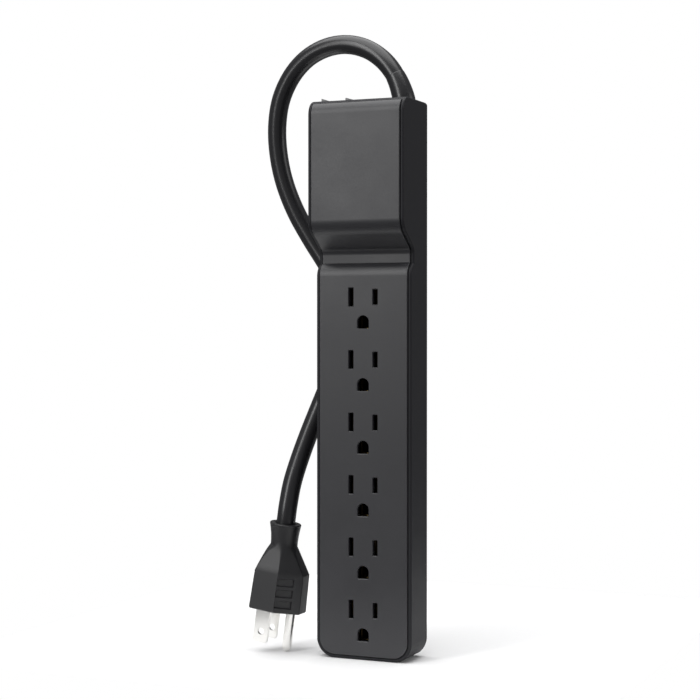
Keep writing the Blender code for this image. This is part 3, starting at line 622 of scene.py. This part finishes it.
def make_shell():
    h = strip_lines()
    half, back = h.width / 2, h.back_y - h.rear_thick - h.gap
    top_r = h.head_top_r - h.proud
    line = front_line(h, h.proud) + head_rounding(h, h.proud, 0, 90, 16)
    line = [(y, z + h.proud * max(0.0, z - h.tall + h.head_top_r) / top_r) for y, z in line]
    bm = prism(line + [(back, h.tall), (back, 0.0)], -half, half, "X")
    round_foot(bm, 0.0, h.foot_corner)
    soften_rim(bm, line + [(back, h.tall)], h.shoulder, 5)
    shell = keep("shell", bm, abs_shell_painted_shade())
    floor = h.cover_thick + h.gap
    end = h.cover_end + h.seam / h.head_top_r * 180 / pi
    open_front = front_line(h, -3.0) + head_rounding(h, -3.0, 0, end, 5)
    room_line = from_foot(open_front, h.wall) + head_rounding(h, floor, end, 90, 6)
    room = prism(room_line + [(back + 2, h.tall - floor), (back + 2, h.wall)],
                 -half + h.wall, half - h.wall, "X")
    round_foot(room, h.wall, h.foot_corner - h.wall)
    combine(shell, room)
    edge = h.inset - h.seam
    inner = front_line(h, floor) + head_rounding(h, floor, 0, end, 8)
    section = from_foot(open_front, edge) + list(reversed(from_foot(inner, edge)))
    rebate = prism(section, -half + edge, half - edge, "X")
    round_foot(rebate, edge, h.foot_corner - edge)
    combine(shell, rebate)
    more, reach = 0.3, 6
    for node in ("switch_frame", "reset_button"):
        low, high = node_box(node)
        combine(shell, box((low.x - more, low.y - more, h.tall - reach),
                           (high.x + more, high.y + more, h.tall + reach)))
    a, b = Vector(LEAD_ROUTE[2]) / MM, Vector(LEAD_ROUTE[3]) / MM
    bore = sizes("lead").sleeve + 0.5
    combine(shell, turned([(bore, -8), (bore, 8)], (a + b) / 2, b - a, 64))
    return finished(shell, HOUSING, "body_shell")


def opening(outline, deck_y, thick, lip):
    """Cutter for one opening: a chamfered mouth, then straight walls."""
    mid = (sum(p[0] for p in outline) / len(outline), sum(p[1] for p in outline) / len(outline))
    wide = max(abs(p[0] - mid[0]) for p in outline)
    tall = max(abs(p[1] - mid[1]) for p in outline)
    rings = []
    for y, grow in ((deck_y - 1.0, lip + 1.0), (deck_y + lip, 0.0), (deck_y + thick + 1.0, 0.0)):
        ring = []
        for x, z in outline:
            away = Vector((x - mid[0], z - mid[1]))
            ring.append((x + grow * away.x / wide, y, z + grow * away.y / tall))
        rings.append(ring)
    return loft(rings)


def rounded_slot(x, z, wide, tall, radius=0.35):
    points = []
    for sx, sz, start in ((1, 1, 0), (-1, 1, 90), (-1, -1, 180), (1, -1, 270)):
        centre = (x + sx * (wide / 2 - radius), z + sz * (tall / 2 - radius))
        points += arc(centre, radius, start, start + 90, 3)
    return points


def outlet_cutter(h, o):
    """The three openings of one outlet, about the middle of its blade slots."""
    half = o.blades_apart / 2
    shapes = [opening(rounded_slot(-half, 0, o.slot_wide, o.neutral_tall), 0, h.cover_thick, o.lip),
              opening(rounded_slot(half, 0, o.slot_wide, o.hot_tall), 0, h.cover_thick, o.lip)]
    hole = arc((0, -o.ground_drop), o.ground_radius, 0, 180, 24)
    low = -o.ground_drop - o.ground_low
    corner = 0.5
    hole += arc((-o.ground_radius + corner, low + corner), corner, 180, 270, 3)
    hole += arc((o.ground_radius - corner, low + corner), corner, 270, 360, 3)
    shapes.append(opening(hole, 0, h.cover_thick, o.lip))
    return merge(*shapes)


def make_front_cover():
    h = strip_lines()
    o = sizes("outlets")
    half = h.width / 2 - h.inset
    finish = abs_front_cover()
    outer = from_foot(front_line(h, 0.0) + head_rounding(h, 0.0, 0, h.cover_end, 12), h.inset)
    inner = front_line(h, h.cover_thick) + head_rounding(h, h.cover_thick, 0, h.cover_end, 12)
    inner = from_foot(inner, h.inset)
    bm = prism(outer + list(reversed(inner)), -half, half, "X")
    round_foot(bm, h.inset, h.foot_corner - h.inset)
    soften_rim(bm, outer, 0.35, 3)
    cover = keep("front_cover_face", bm, finish)
    template = keep("outlet_cutter", outlet_cutter(h, o))
    places = [(0.0, h.deck_y, o.top - k * o.pitch) for k in range(o.count)]
    combine(cover, piece_at_points("outlet_cutters", template, places, (0.0, 0.0, 0.0), finish))
    post_radius, bore_radius, bore_start, overlap = 3.2, 1.5, 2.0, 0.8
    end = h.back_y - h.rear_thick - h.gap
    for screw in SCREWS:
        low, high = node_box(screw)
        start = (h.head_y if low.z > h.ramp_top_z else h.deck_y) + h.cover_thick - overlap
        middle = (low + high) / 2
        spot = (middle.x, 0, middle.z)
        combine(cover, turned([(post_radius, start), (post_radius, end)], spot, (0, 1, 0), 32), "UNION")
        combine(cover, turned([(bore_radius, bore_start), (bore_radius, h.back_y)], spot, (0, 1, 0), 24))
    return finished(cover, HOUSING, "front_cover")


def keyhole(z, back_y):
    """Cutter for a hanging hole: a round for the screw's head and a narrow slot above it."""
    head, neck, rise = 4.1, 2.1, 8.0
    low = atan2((head ** 2 - neck ** 2) ** 0.5, neck) * 180 / pi
    outline = arc((0, z), head, 180 - low, 360 + low, 36) + arc((0, z + rise), neck, 0, 180, 14)
    return prism(outline, back_y - 4, back_y + 2, "Y")


def make_rear_cover():
    h = strip_lines()
    half, corner = h.width / 2, h.foot_corner
    outline = arc((half - corner, corner), corner, -90, 0, 16)
    outline += arc((half - h.shoulder, h.tall - h.shoulder), h.shoulder, 0, 90, 6)
    outline += [(-x, z) for x, z in reversed(outline)]
    bm = prism(outline, h.back_y - h.rear_thick, h.back_y, "Y")
    rim = [e for e in bm.edges if all(abs(v.co.y - h.back_y) < 0.01 for v in e.verts)]
    bmesh.ops.bevel(bm, geom=rim, offset=0.7, segments=4, profile=0.5, affect="EDGES")
    cover = keep("rear_cover_plate", bm, abs_shell_painted_shade())
    cuts = []
    for name in ("lower_keyhole", "upper_keyhole"):
        low, high = opening_box(name)
        cuts.append(keyhole((low[2] + high[2]) / 2 / MM, h.back_y))
    y = h.back_y
    seat = [(1.6, y - 3), (1.6, y - 0.9), (3.4, y - 0.9), (3.4, y - 0.25), (3.65, y), (4.6, y + 1)]
    for screw in SCREWS:
        low, high = node_box(screw)
        middle = (low + high) / 2
        cuts.append(turned(seat, (middle.x, 0, middle.z), (0, 1, 0), 40))
    for cut in cuts:
        combine(cover, cut)
    panel_low, panel_high, panel_deep = 92.0, 160.0, 0.25
    ring = rounded_panel(half - 6.0, panel_low, panel_high, 2.0)
    combine(cover, loft([[(x, y - panel_deep, z) for x, z in ring], [(x, y + 1.0, z) for x, z in ring]]))
    return finished(cover, HOUSING, "rear_cover")


def rounded_panel(half, low, high, radius):
    """Outline of the shallow blank panel on the back."""
    points = []
    for sx, z, start in ((1, high - radius, 0), (-1, high - radius, 90), (-1, low + radius, 180),
                         (1, low + radius, 270)):
        points += arc((sx * (half - radius), z), radius, start, start + 90, 6)
    return points


def opening_box(name):
    """Low and high corner of a stated opening."""
    for stated in frame["record"]["physics"]["openings"]:
        if stated["name"] == name:
            return stated["box_m"]
    raise RuntimeError(f"the record states no opening {name}")


def make_cover_screws():
    """Six pan-head screws with a cross recess, laid out by Geometry Nodes."""
    places = []
    for screw in SCREWS:
        low, high = node_box(screw)
        places.append(((low.x + high.x) / 2, high.y, (low.z + high.z) / 2))
    profile = [(0.35, -10.9), (1.15, -9.6)]
    for k in range(8):
        profile += [(1.15, -9.4 + k * 1.05), (1.38, -9.0 + k * 1.05), (1.15, -8.6 + k * 1.05)]
    profile += [(1.15, -0.62), (2.9, -0.62), (3.0, -0.45), (2.85, -0.2), (2.45, -0.05), (1.6, 0.0)]
    template = keep("screw_template", turned(profile, (0, 0, 0), (0, 1, 0), 40))
    for wide, tall in ((1.6, 0.3), (0.3, 1.6)):
        rings = []
        for y, size in ((0.5, 1.15), (0.0, 1.0), (-0.45, 0.62)):
            rings.append([(sx * wide * size, y, sz * tall * (0.5 + size / 2))
                          for sx, sz in ((1, 1), (-1, 1), (-1, -1), (1, -1))])
        combine(template, loft(rings))
    screws = piece_at_points("cover_screws", template, places, (0.0, 0.0, 0.0), zinc_screw())
    return finished(screws, HOUSING, *SCREWS)


# ---- switch end ----------------------------------------------------------
def make_switch():
    s = sizes("switch")
    gloss = polycarbonate_switch()
    pivot = Vector(joint("hinge")["pos_m"]) / MM
    half, top = s.rocker_half, 2.6
    outline = [(-half + 0.5, top - 3.0), (-2.4, -3.4), (2.4, -3.4), (half - 0.5, top - 3.0)]
    crown = []
    for i in range(17):
        x = half - 2 * half * i / 16
        crown.append((x, top - s.dish * (1 - (x / half) ** 2)))
    bm = prism(outline + crown, -s.rocker_deep, s.rocker_deep, "Y")
    place = Matrix.Translation(pivot) @ Matrix.Rotation(s.tilt, 4, "Y")
    bmesh.ops.transform(bm, matrix=place, verts=bm.verts)
    rocker = keep("rocker_paddle", bm, gloss)
    rounded_edges(rocker, 0.3, 3, angle=50)
    pin = turned([(HINGE_PIN_RADIUS, -5.0), (HINGE_PIN_RADIUS, 5.0)], pivot, (0, 1, 0), 32)
    combine(rocker, pin, "UNION")
    finished(rocker, ROCKER, "rocker", crease=50)
    low, high = node_box("switch_frame")
    bezel = keep("switch_bezel", box(low, high), gloss)
    rounded_edges(bezel, 0.35, 3)
    middle = (low + high) / 2
    well_x, well_y, well_floor = 6.0, 4.6, 258.0
    combine(bezel, box((middle.x - well_x, middle.y - well_y, well_floor),
                       (middle.x + well_x, middle.y + well_y, high.z + 2)))
    combine(bezel, turned([(HINGE_HOLE_RADIUS, -8), (HINGE_HOLE_RADIUS, 8)],
                          (middle.x, middle.y, pivot.z), (0, 1, 0), 32))
    finished(bezel, HOUSING, "switch_frame")
    low, high = node_box("reset_button")
    side = [(low.x, low.z), (high.x, low.z), (high.x, high.z - 1.2), (low.x, high.z)]
    button = keep("reset_cap", prism(side, low.y, high.y, "Y"), gloss)
    rounded_edges(button, 0.4, 4)
    finished(button, BUTTON, "reset_button", crease=50)


def make_reset_spring():
    """Coil under the reset button: it shortens a little more than the button travels, from its foot."""
    s = sizes("switch")
    low, high = node_box("reset_spring")
    middle = (low + high) / 2
    coil = (high.x - low.x) / 2 - s.spring_wire
    rise = high.z - low.z - 2 * s.spring_wire
    per_turn, sides = 24, 10
    steps = per_turn * s.spring_turns
    rings = []
    for i in range(steps + 1):
        around = 2 * pi * i / per_turn
        out = Vector((cos(around), sin(around), 0.0))
        heart = Vector((middle.x, middle.y, low.z + s.spring_wire + rise * i / steps)) + out * coil
        turn = [2 * pi * k / sides for k in range(sides)]
        rings.append([tuple(heart + s.spring_wire * (cos(t) * out + sin(t) * Vector((0, 0, 1))))
                      for t in turn])
    spring = keep("reset_spring_coil", loft(rings), spring_steel())
    finished(spring, HOUSING, "reset_spring", crease=60)
    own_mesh(spring)
    return spring


# ---- plug ----------------------------------------------------------------
def plug_frame(p):
    """Plug frame: origin between the blades on the plug's face, +X to the ground pin, +Z to the lead."""
    low, high = node_box("ground_pin")
    drop = sizes("outlets").ground_drop
    turn = Matrix.Rotation(p.tilt, 4, "Y")
    tip = Vector((GROUND_PIN_TIP_X, (low.y + high.y) / 2, low.z))
    return Matrix.Translation(tip - turn @ Vector((drop, 0, -p.pin_long))) @ turn


def facet_corners(lines):
    """Corners where neighbouring sides meet; each side is (direction in degrees, distance out)."""
    corners = []
    for (a, da), (b, db) in zip(lines, lines[1:] + lines[:1]):
        ax, ay, bx, by = cos(radians(a)), sin(radians(a)), cos(radians(b)), sin(radians(b))
        det = ax * by - ay * bx
        corners.append(((da * by - db * ay) / det, (ax * db - bx * da) / det))
    return corners


def filleted(corners, radius, middle, steps):
    """Outline with every corner rounded to the radius, about a middle point."""
    ring = []
    count = len(corners)
    for k in range(count):
        before, here, after = (Vector(corners[(k + d) % count]) for d in (-1, 0, 1))
        a, b = (before - here).normalized(), (after - here).normalized()
        half = a.angle(b) / 2
        centre = here + (a + b).normalized() * (radius / sin(half))
        start = here + a * (radius / tan(half)) - centre
        sweep = pi - 2 * half
        for i in range(steps + 1):
            t = sweep * i / steps
            ring.append((middle[0] + centre.x + start.x * cos(t) - start.y * sin(t),
                         middle[1] + centre.y + start.x * sin(t) + start.y * cos(t)))
    return ring


def plug_sections(p):
    """Rings of the plug's moulding from its face to its collar."""
    facing = [180, 270, 360 - PLUG_SLANT_DEG, 0, PLUG_SLANT_DEG, 90]
    slant_out = 13.06 * 0.8
    base_out = [12.1, 11.6, slant_out, 12.4, slant_out, 11.6]
    neck, neck_x = 6.75, 3.5
    levels = [(0.0, 0.0, -0.45, 0.5), (0.5, 0.0, 0.0, 0.6), (19.2, 0.0, -0.45, 0.7), (22.5, 0.25, -0.45, 0.9),
              (26.0, 0.52, -0.45, 1.5), (29.5, 0.79, -0.3, 3.2), (32.3, 1.0, 0.0, neck)]
    rings = []
    for w, mix, grow, radius in levels:
        sides = [(turn, out + (neck - out) * mix + grow) for turn, out in zip(facing, base_out)]
        spot = (PLUG_MIDDLE_X + (neck_x - PLUG_MIDDLE_X) * mix, 0.0)
        rings.append([(x, y, w) for x, y in filleted(facet_corners(sides), radius, spot, 6)])
    for w, x, radius in ((34.5, 3.4, 6.78), (37.5, 3.25, 7.0), (40.5, 3.05, 7.45), (42.9, p.cord_side, 7.9),
                         (p.tall, p.cord_side, 7.65)):
        sides = [(turn, radius) for turn in facing]
        rings.append([(a, b, w) for a, b in filleted(facet_corners(sides), radius, (x, 0.0), 6)])
    return rings


def make_plug():
    p = sizes("plug")
    lead = sizes("lead")
    place = plug_frame(p)
    outlets = sizes("outlets")
    drop, spread = outlets.ground_drop, outlets.blades_apart / 2
    body = keep("plug_moulding", loft(plug_sections(p)), pvc_plug())
    cuts = []
    for y, wide in ((-spread, p.neutral_wide), (spread, p.hot_wide)):
        reach = (wide / 2 + 0.3, p.blade_thick / 2 + 0.3)
        cuts.append(box((-reach[0], y - reach[1], -2), (reach[0], y + reach[1], p.pocket)))
    cuts.append(turned([(p.pin_radius + 0.3, -2), (p.pin_radius + 0.3, p.pocket)],
                       (drop, 0, 0), (0, 0, 1), 40))
    entry = lead.thick / 2 + 0.45
    cuts.append(turned([(entry, p.tall - p.pocket), (entry, p.tall - 0.5), (entry + 1.2, p.tall + 0.7)],
                       (p.cord_side, 0, 0), (0, 0, 1), 56))
    for cut in cuts:
        combine(body, cut)
    for side in (-1, 1):
        combine(body, grip_bands(side))
    body.data.transform(metres(place))
    finished(body, HOUSING, "plug_body", crease=28)
    nickel = nickel_blade()
    pieces = [body]
    for name, node, y, wide in (("neutral_blade_plated", "neutral_blade", -spread, p.neutral_wide),
                                ("hot_blade_plated", "hot_blade", spread, p.hot_wide)):
        half, tip, root = wide / 2, -p.blade_long, p.pocket - 0.3
        outline = [(-half, root), (-half, tip + 1.1), (-half + 0.9, tip), (half - 0.9, tip),
                   (half, tip + 1.1), (half, root)]
        blade = keep(name, prism(outline, y - p.blade_thick / 2, y + p.blade_thick / 2, "Y"), nickel)
        rounded_edges(blade, 0.22, 3)
        hole = [(2.1, -2), (1.6, -0.55), (1.6, 0.55), (2.1, 2)]
        combine(blade, turned(hole, (0, y, tip + 5.6), (0, 1, 0), 40))
        blade.data.transform(metres(place))
        pieces.append(finished(blade, HOUSING, node))
    r, nose = p.pin_radius, 3.0
    profile = [(0.12, -p.pin_long)]
    for a in (82, 72, 60, 48, 36, 24, 12, 0):
        profile.append((r * cos(radians(a)), -p.pin_long + nose - nose * sin(radians(a))))
    profile.append((r, p.pocket - 0.3))
    pin = keep("ground_pin_plated", turned(profile, (drop, 0, 0), (0, 0, 1), 48), nickel)
    pin.data.transform(metres(place))
    pieces.append(finished(pin, HOUSING, "ground_pin", crease=50))
    return pieces


def metres(matrix):
    """A placing matrix in millimetres, turned to metres."""
    made = matrix.copy()
    made.translation *= MM
    return made


def grip_bands(side):
    """Cutter for the three sunk bands on a slanted facet, laid out by Geometry Nodes."""
    slant = radians(PLUG_SLANT_DEG)
    normal = Vector((cos(slant), side * sin(slant), 0))
    along = Vector((-normal.y, normal.x, 0)) * side
    start = Vector((PLUG_MIDDLE_X, 0, 0)) + normal * 10.0
    half_long, half_wide = 4.3, 1.95
    rings = []
    for out, grow in ((2.0, 0.6), (0.15, 0.0), (-0.75, -0.35)):
        rings.append([(a * (half_long + grow), out, b * (half_wide + grow))
                      for a, b in ((1, 1), (-1, 1), (-1, -1), (1, -1))])
    template = keep("grip_band", loft(rings))
    template.data.transform(Matrix(((along.x, normal.x, 0, 0), (along.y, normal.y, 0, 0), (0, 0, 1, 0),
                                    (0, 0, 0, 1))))
    if side > 0:
        template.data.flip_normals()
    places = [start + along + Vector((0, 0, z)) for z in (4.4, 9.9, 15.4)]
    name = "grip_bands_front" if side < 0 else "grip_bands_rear"
    return piece_at_points(name, template, places, (0.0, 0.0, 0.0), None)


# ---- lead ----------------------------------------------------------------
def smooth_route(points, spacing):
    """Catmull-Rom curve through the route's points, read at even spacing."""
    pts = [Vector(p) for p in points]
    pts = [2 * pts[0] - pts[1]] + pts + [2 * pts[-1] - pts[-2]]
    fine = []
    for i in range(1, len(pts) - 2):
        p0, p1, p2, p3 = pts[i - 1:i + 3]
        for k in range(12):
            t = k / 12
            fine.append(0.5 * (2 * p1 + (p2 - p0) * t + (2 * p0 - 5 * p1 + 4 * p2 - p3) * t * t
                               + (3 * p1 - p0 - 3 * p2 + p3) * t ** 3))
    fine.append(pts[-2])
    runs = [0.0]
    for a, b in zip(fine, fine[1:]):
        runs.append(runs[-1] + (b - a).length)
    count = max(2, round(runs[-1] / spacing))
    even, k = [], 0
    for i in range(count + 1):
        want = runs[-1] * i / count
        while k < len(runs) - 2 and runs[k + 1] < want:
            k += 1
        even.append(fine[k].lerp(fine[k + 1], min(1.0, (want - runs[k]) / (runs[k + 1] - runs[k]))))
    return even


def run_lengths(points):
    runs = [0.0]
    for a, b in zip(points, points[1:]):
        runs.append(runs[-1] + (b - a).length)
    return runs


def swept(points, radii, steps):
    """Round solid along a route, with a radius for each point."""
    rings = []
    for i, (point, radius) in enumerate(zip(points, radii)):
        ahead = (points[min(i + 1, len(points) - 1)] - points[max(i - 1, 0)]).normalized()
        across = ahead.cross(Vector((0, 1, 0))).normalized()
        up = across.cross(ahead)
        rings.append([point + radius * (cos(2 * pi * k / steps) * across + sin(2 * pi * k / steps) * up)
                      for k in range(steps)])
    return loft(rings)


def make_lead(plug_pieces):
    """The lead as one curve, with its tapered strain relief."""
    lead = sizes("lead")
    jacket = pvc_jacket()
    points = smooth_route(LEAD_ROUTE, 2.5 * MM)
    runs = run_lengths(points)
    head_top, head_side = 0.2735, 0.010
    free = [p for p in points if p.z > head_top or p.x < head_side]
    remove_old("mains_lead")
    curve = bpy.data.curves.new("mains_lead", "CURVE")
    curve.dimensions = "3D"
    curve.bevel_depth = lead.thick / 2 * MM
    curve.bevel_resolution = 10
    curve.use_fill_caps = True
    spline = curve.splines.new("POLY")
    spline.points.add(len(free) - 1)
    for knot, place in zip(spline.points, free):
        knot.co = (*place, 1.0)
    spline.use_smooth = True
    curve.materials.append(jacket)
    cord = bpy.data.objects.new("mains_lead", curve)
    bpy.context.scene.collection.objects.link(cord)
    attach(cord, HOUSING)
    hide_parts("power_cord")
    inner = [p / MM for p, r in zip(points, runs) if r <= lead.sleeve_span * MM]
    inside = 28.0
    radii = []
    for i in range(len(inner)):
        share = max(0.0, (runs[i] / MM - inside) / (lead.sleeve_span - inside))
        radii.append(lead.sleeve + (lead.sleeve_tip - lead.sleeve) * share)
    tip = (inner[-1] - inner[-2]).normalized()
    inner += [inner[-1] + tip * 0.3, inner[-1] + tip * 0.42]
    radii += [lead.sleeve_tip - 0.06, lead.thick / 2 + 0.02]
    sleeve = keep("lead_sleeve", swept(inner, radii, 48), jacket)
    finished(sleeve, HOUSING, "cord_strain_relief", crease=50)
    return cord


# ---- inside --------------------------------------------------------------
def finish_inside():
    """Give the frame's own inner nodes the finish of the real ones."""
    # The brass here is darkened below real brass: painted shade of the slots.
    brass, nylon, epoxy = brass_contact_painted_shade(), natural_nylon(), dipped_epoxy()
    coats = {
        "hot_bus_bar": brass, "neutral_bus_bar": brass, "ground_bus_bar": brass,
        "switch_tab_line": brass, "switch_tab_load": brass,
        "bus_holder_top": nylon, "bus_holder_middle": nylon, "bus_holder_bottom": nylon,
        "breaker_body": nylon, "cord_clamp": nylon, "filter_capacitor": nylon,
        "varistor_1": epoxy, "varistor_2": epoxy, "varistor_3": epoxy,
        "thermal_fuse": zinc_screw(), "surge_board": printed_board(),
        "line_wire": core_insulation("pvc_core_black", "#1A1A1A"),
        "switched_wire": core_insulation("pvc_core_black_switched", "#202020"),
        "neutral_wire": core_insulation("pvc_core_white", "#E4E2DC"),
        "ground_wire": core_insulation("pvc_core_green", "#1F7A3C"),
    }
    for node, coat in coats.items():
        mesh = frame["nodes"][node].data
        mesh.materials.clear()
        mesh.materials.append(coat)


# ---- stage ---------------------------------------------------------------
def soft_light(name, place, aim, width, height, radiance):
    """A rectangular softbox of a given radiance, aimed at a point."""
    lamp = bpy.data.lights.new(name, "AREA")
    lamp.shape = "RECTANGLE"
    lamp.size, lamp.size_y = width, height
    lamp.energy = radiance * pi * width * height
    obj = bpy.data.objects.new(name, lamp)
    obj.location = place
    obj.rotation_euler = (Vector(aim) - Vector(place)).to_track_quat("-Z", "Y").to_euler()
    bpy.context.scene.collection.objects.link(obj)
    return obj


def make_stage():
    scene = bpy.context.scene
    camera = bpy.data.cameras.new("camera")
    camera.sensor_width = 36.0
    camera.lens = 86.54
    camera.clip_start, camera.clip_end = 0.01, 50.0
    seen = bpy.data.objects.new("camera", camera)
    seen.location = (0.3169, -0.7584, 0.1636)
    seen.rotation_euler = (radians(89.12), 0.0, radians(23.28))
    scene.collection.objects.link(seen)
    scene.camera = seen
    scene.view_settings.view_transform = "Standard"
    floor = bmesh.new()
    bmesh.ops.create_grid(floor, x_segments=2, y_segments=2, size=165.0)
    bmesh.ops.translate(floor, verts=floor.verts, vec=(-30.0, 75.0, -0.02))
    keep("floor", floor, paper_sweep())
    world = bpy.data.worlds.new("studio")
    world.use_nodes = True
    scene.world = world
    background = world.node_tree.nodes["Background"]
    rays = add_node(world.node_tree, "ShaderNodeLightPath")
    ambient, backdrop = (0.20, 0.20, 0.205, 1.0), (1.0, 1.0, 1.0, 1.0)
    feed(world.node_tree, background,
         Color=mixed(world.node_tree, rays.outputs["Is Camera Ray"], ambient, backdrop))
    soft_light("key_softbox", (-0.75, -1.45, 0.80), (0.0, 0.0, 0.18), 0.38, 1.3, 8.0)
    soft_light("side_softbox", (1.5, 0.25, 0.6), (0.0, 0.0, 0.16), 0.9, 0.9, 1.6)
    soft_light("top_softbox", (-0.1, -0.1, 1.5), (0.0, 0.0, 0.0), 1.9, 1.9, 2.8)


# ---- operators -----------------------------------------------------------
def step(name, label, about, *makers):
    """An operator that runs one step of the build."""
    class Step(bpy.types.Operator):
        __doc__ = about
        bl_idname = "surge_strip." + name
        bl_label = label

        def execute(self, context):
            for make in makers:
                make()
            return {"FINISHED"}

    Step.__name__ = "SURGESTRIP_OT_" + name
    return Step


OPERATORS = (
    step("make_stage", "Stage", "Make the camera, the floor and the soft studio light", make_stage),
    step("make_lead", "Lead and plug", "Make the plug with its blades, the mains lead and its strain relief",
         lambda: make_lead(make_plug())),
    step("make_housing", "Housing", "Make the shell, the front cover with its outlets, and the rear cover",
         make_shell, make_front_cover, make_rear_cover),
    step("make_screws", "Cover screws", "Lay out the screws of the rear cover", make_cover_screws),
    step("make_switch", "Switch and reset button",
         "Make the rocker, its bezel, the reset button and its spring", make_switch, make_reset_spring),
    step("finish_inside", "Inner parts",
         "Give the contact strips, the surge board and the wires their finish", finish_inside),
)


class SURGESTRIP_PT_panel(bpy.types.Panel):
    """Lists the strip's sizes, colours and steps"""
    bl_label = "Surge strip"
    bl_idname = "SURGESTRIP_PT_panel"
    bl_space_type = "VIEW_3D"
    bl_region_type = "UI"
    bl_category = "Surge strip"

    def draw(self, context):
        for key, group in GROUPS.items():
            column = self.layout.column(align=True)
            column.label(text=key.replace("strip_", "").capitalize())
            for name in group.__annotations__:
                column.prop(getattr(context.scene, key), name)
        for operator in OPERATORS:
            self.layout.operator(operator.bl_idname)


def register():
    for cls in (*GROUPS.values(), *OPERATORS, SURGESTRIP_PT_panel):
        bpy.utils.register_class(cls)
    for key, group in GROUPS.items():
        setattr(bpy.types.Scene, key, PointerProperty(type=group))


def unregister():
    for key in GROUPS:
        delattr(bpy.types.Scene, key)
    for cls in reversed((*GROUPS.values(), *OPERATORS, SURGESTRIP_PT_panel)):
        bpy.utils.unregister_class(cls)


def main():
    register()
    for operator in OPERATORS:
        section, name = operator.bl_idname.split(".")
        getattr(getattr(bpy.ops, section), name)()


if __name__ == "__main__":
    main()
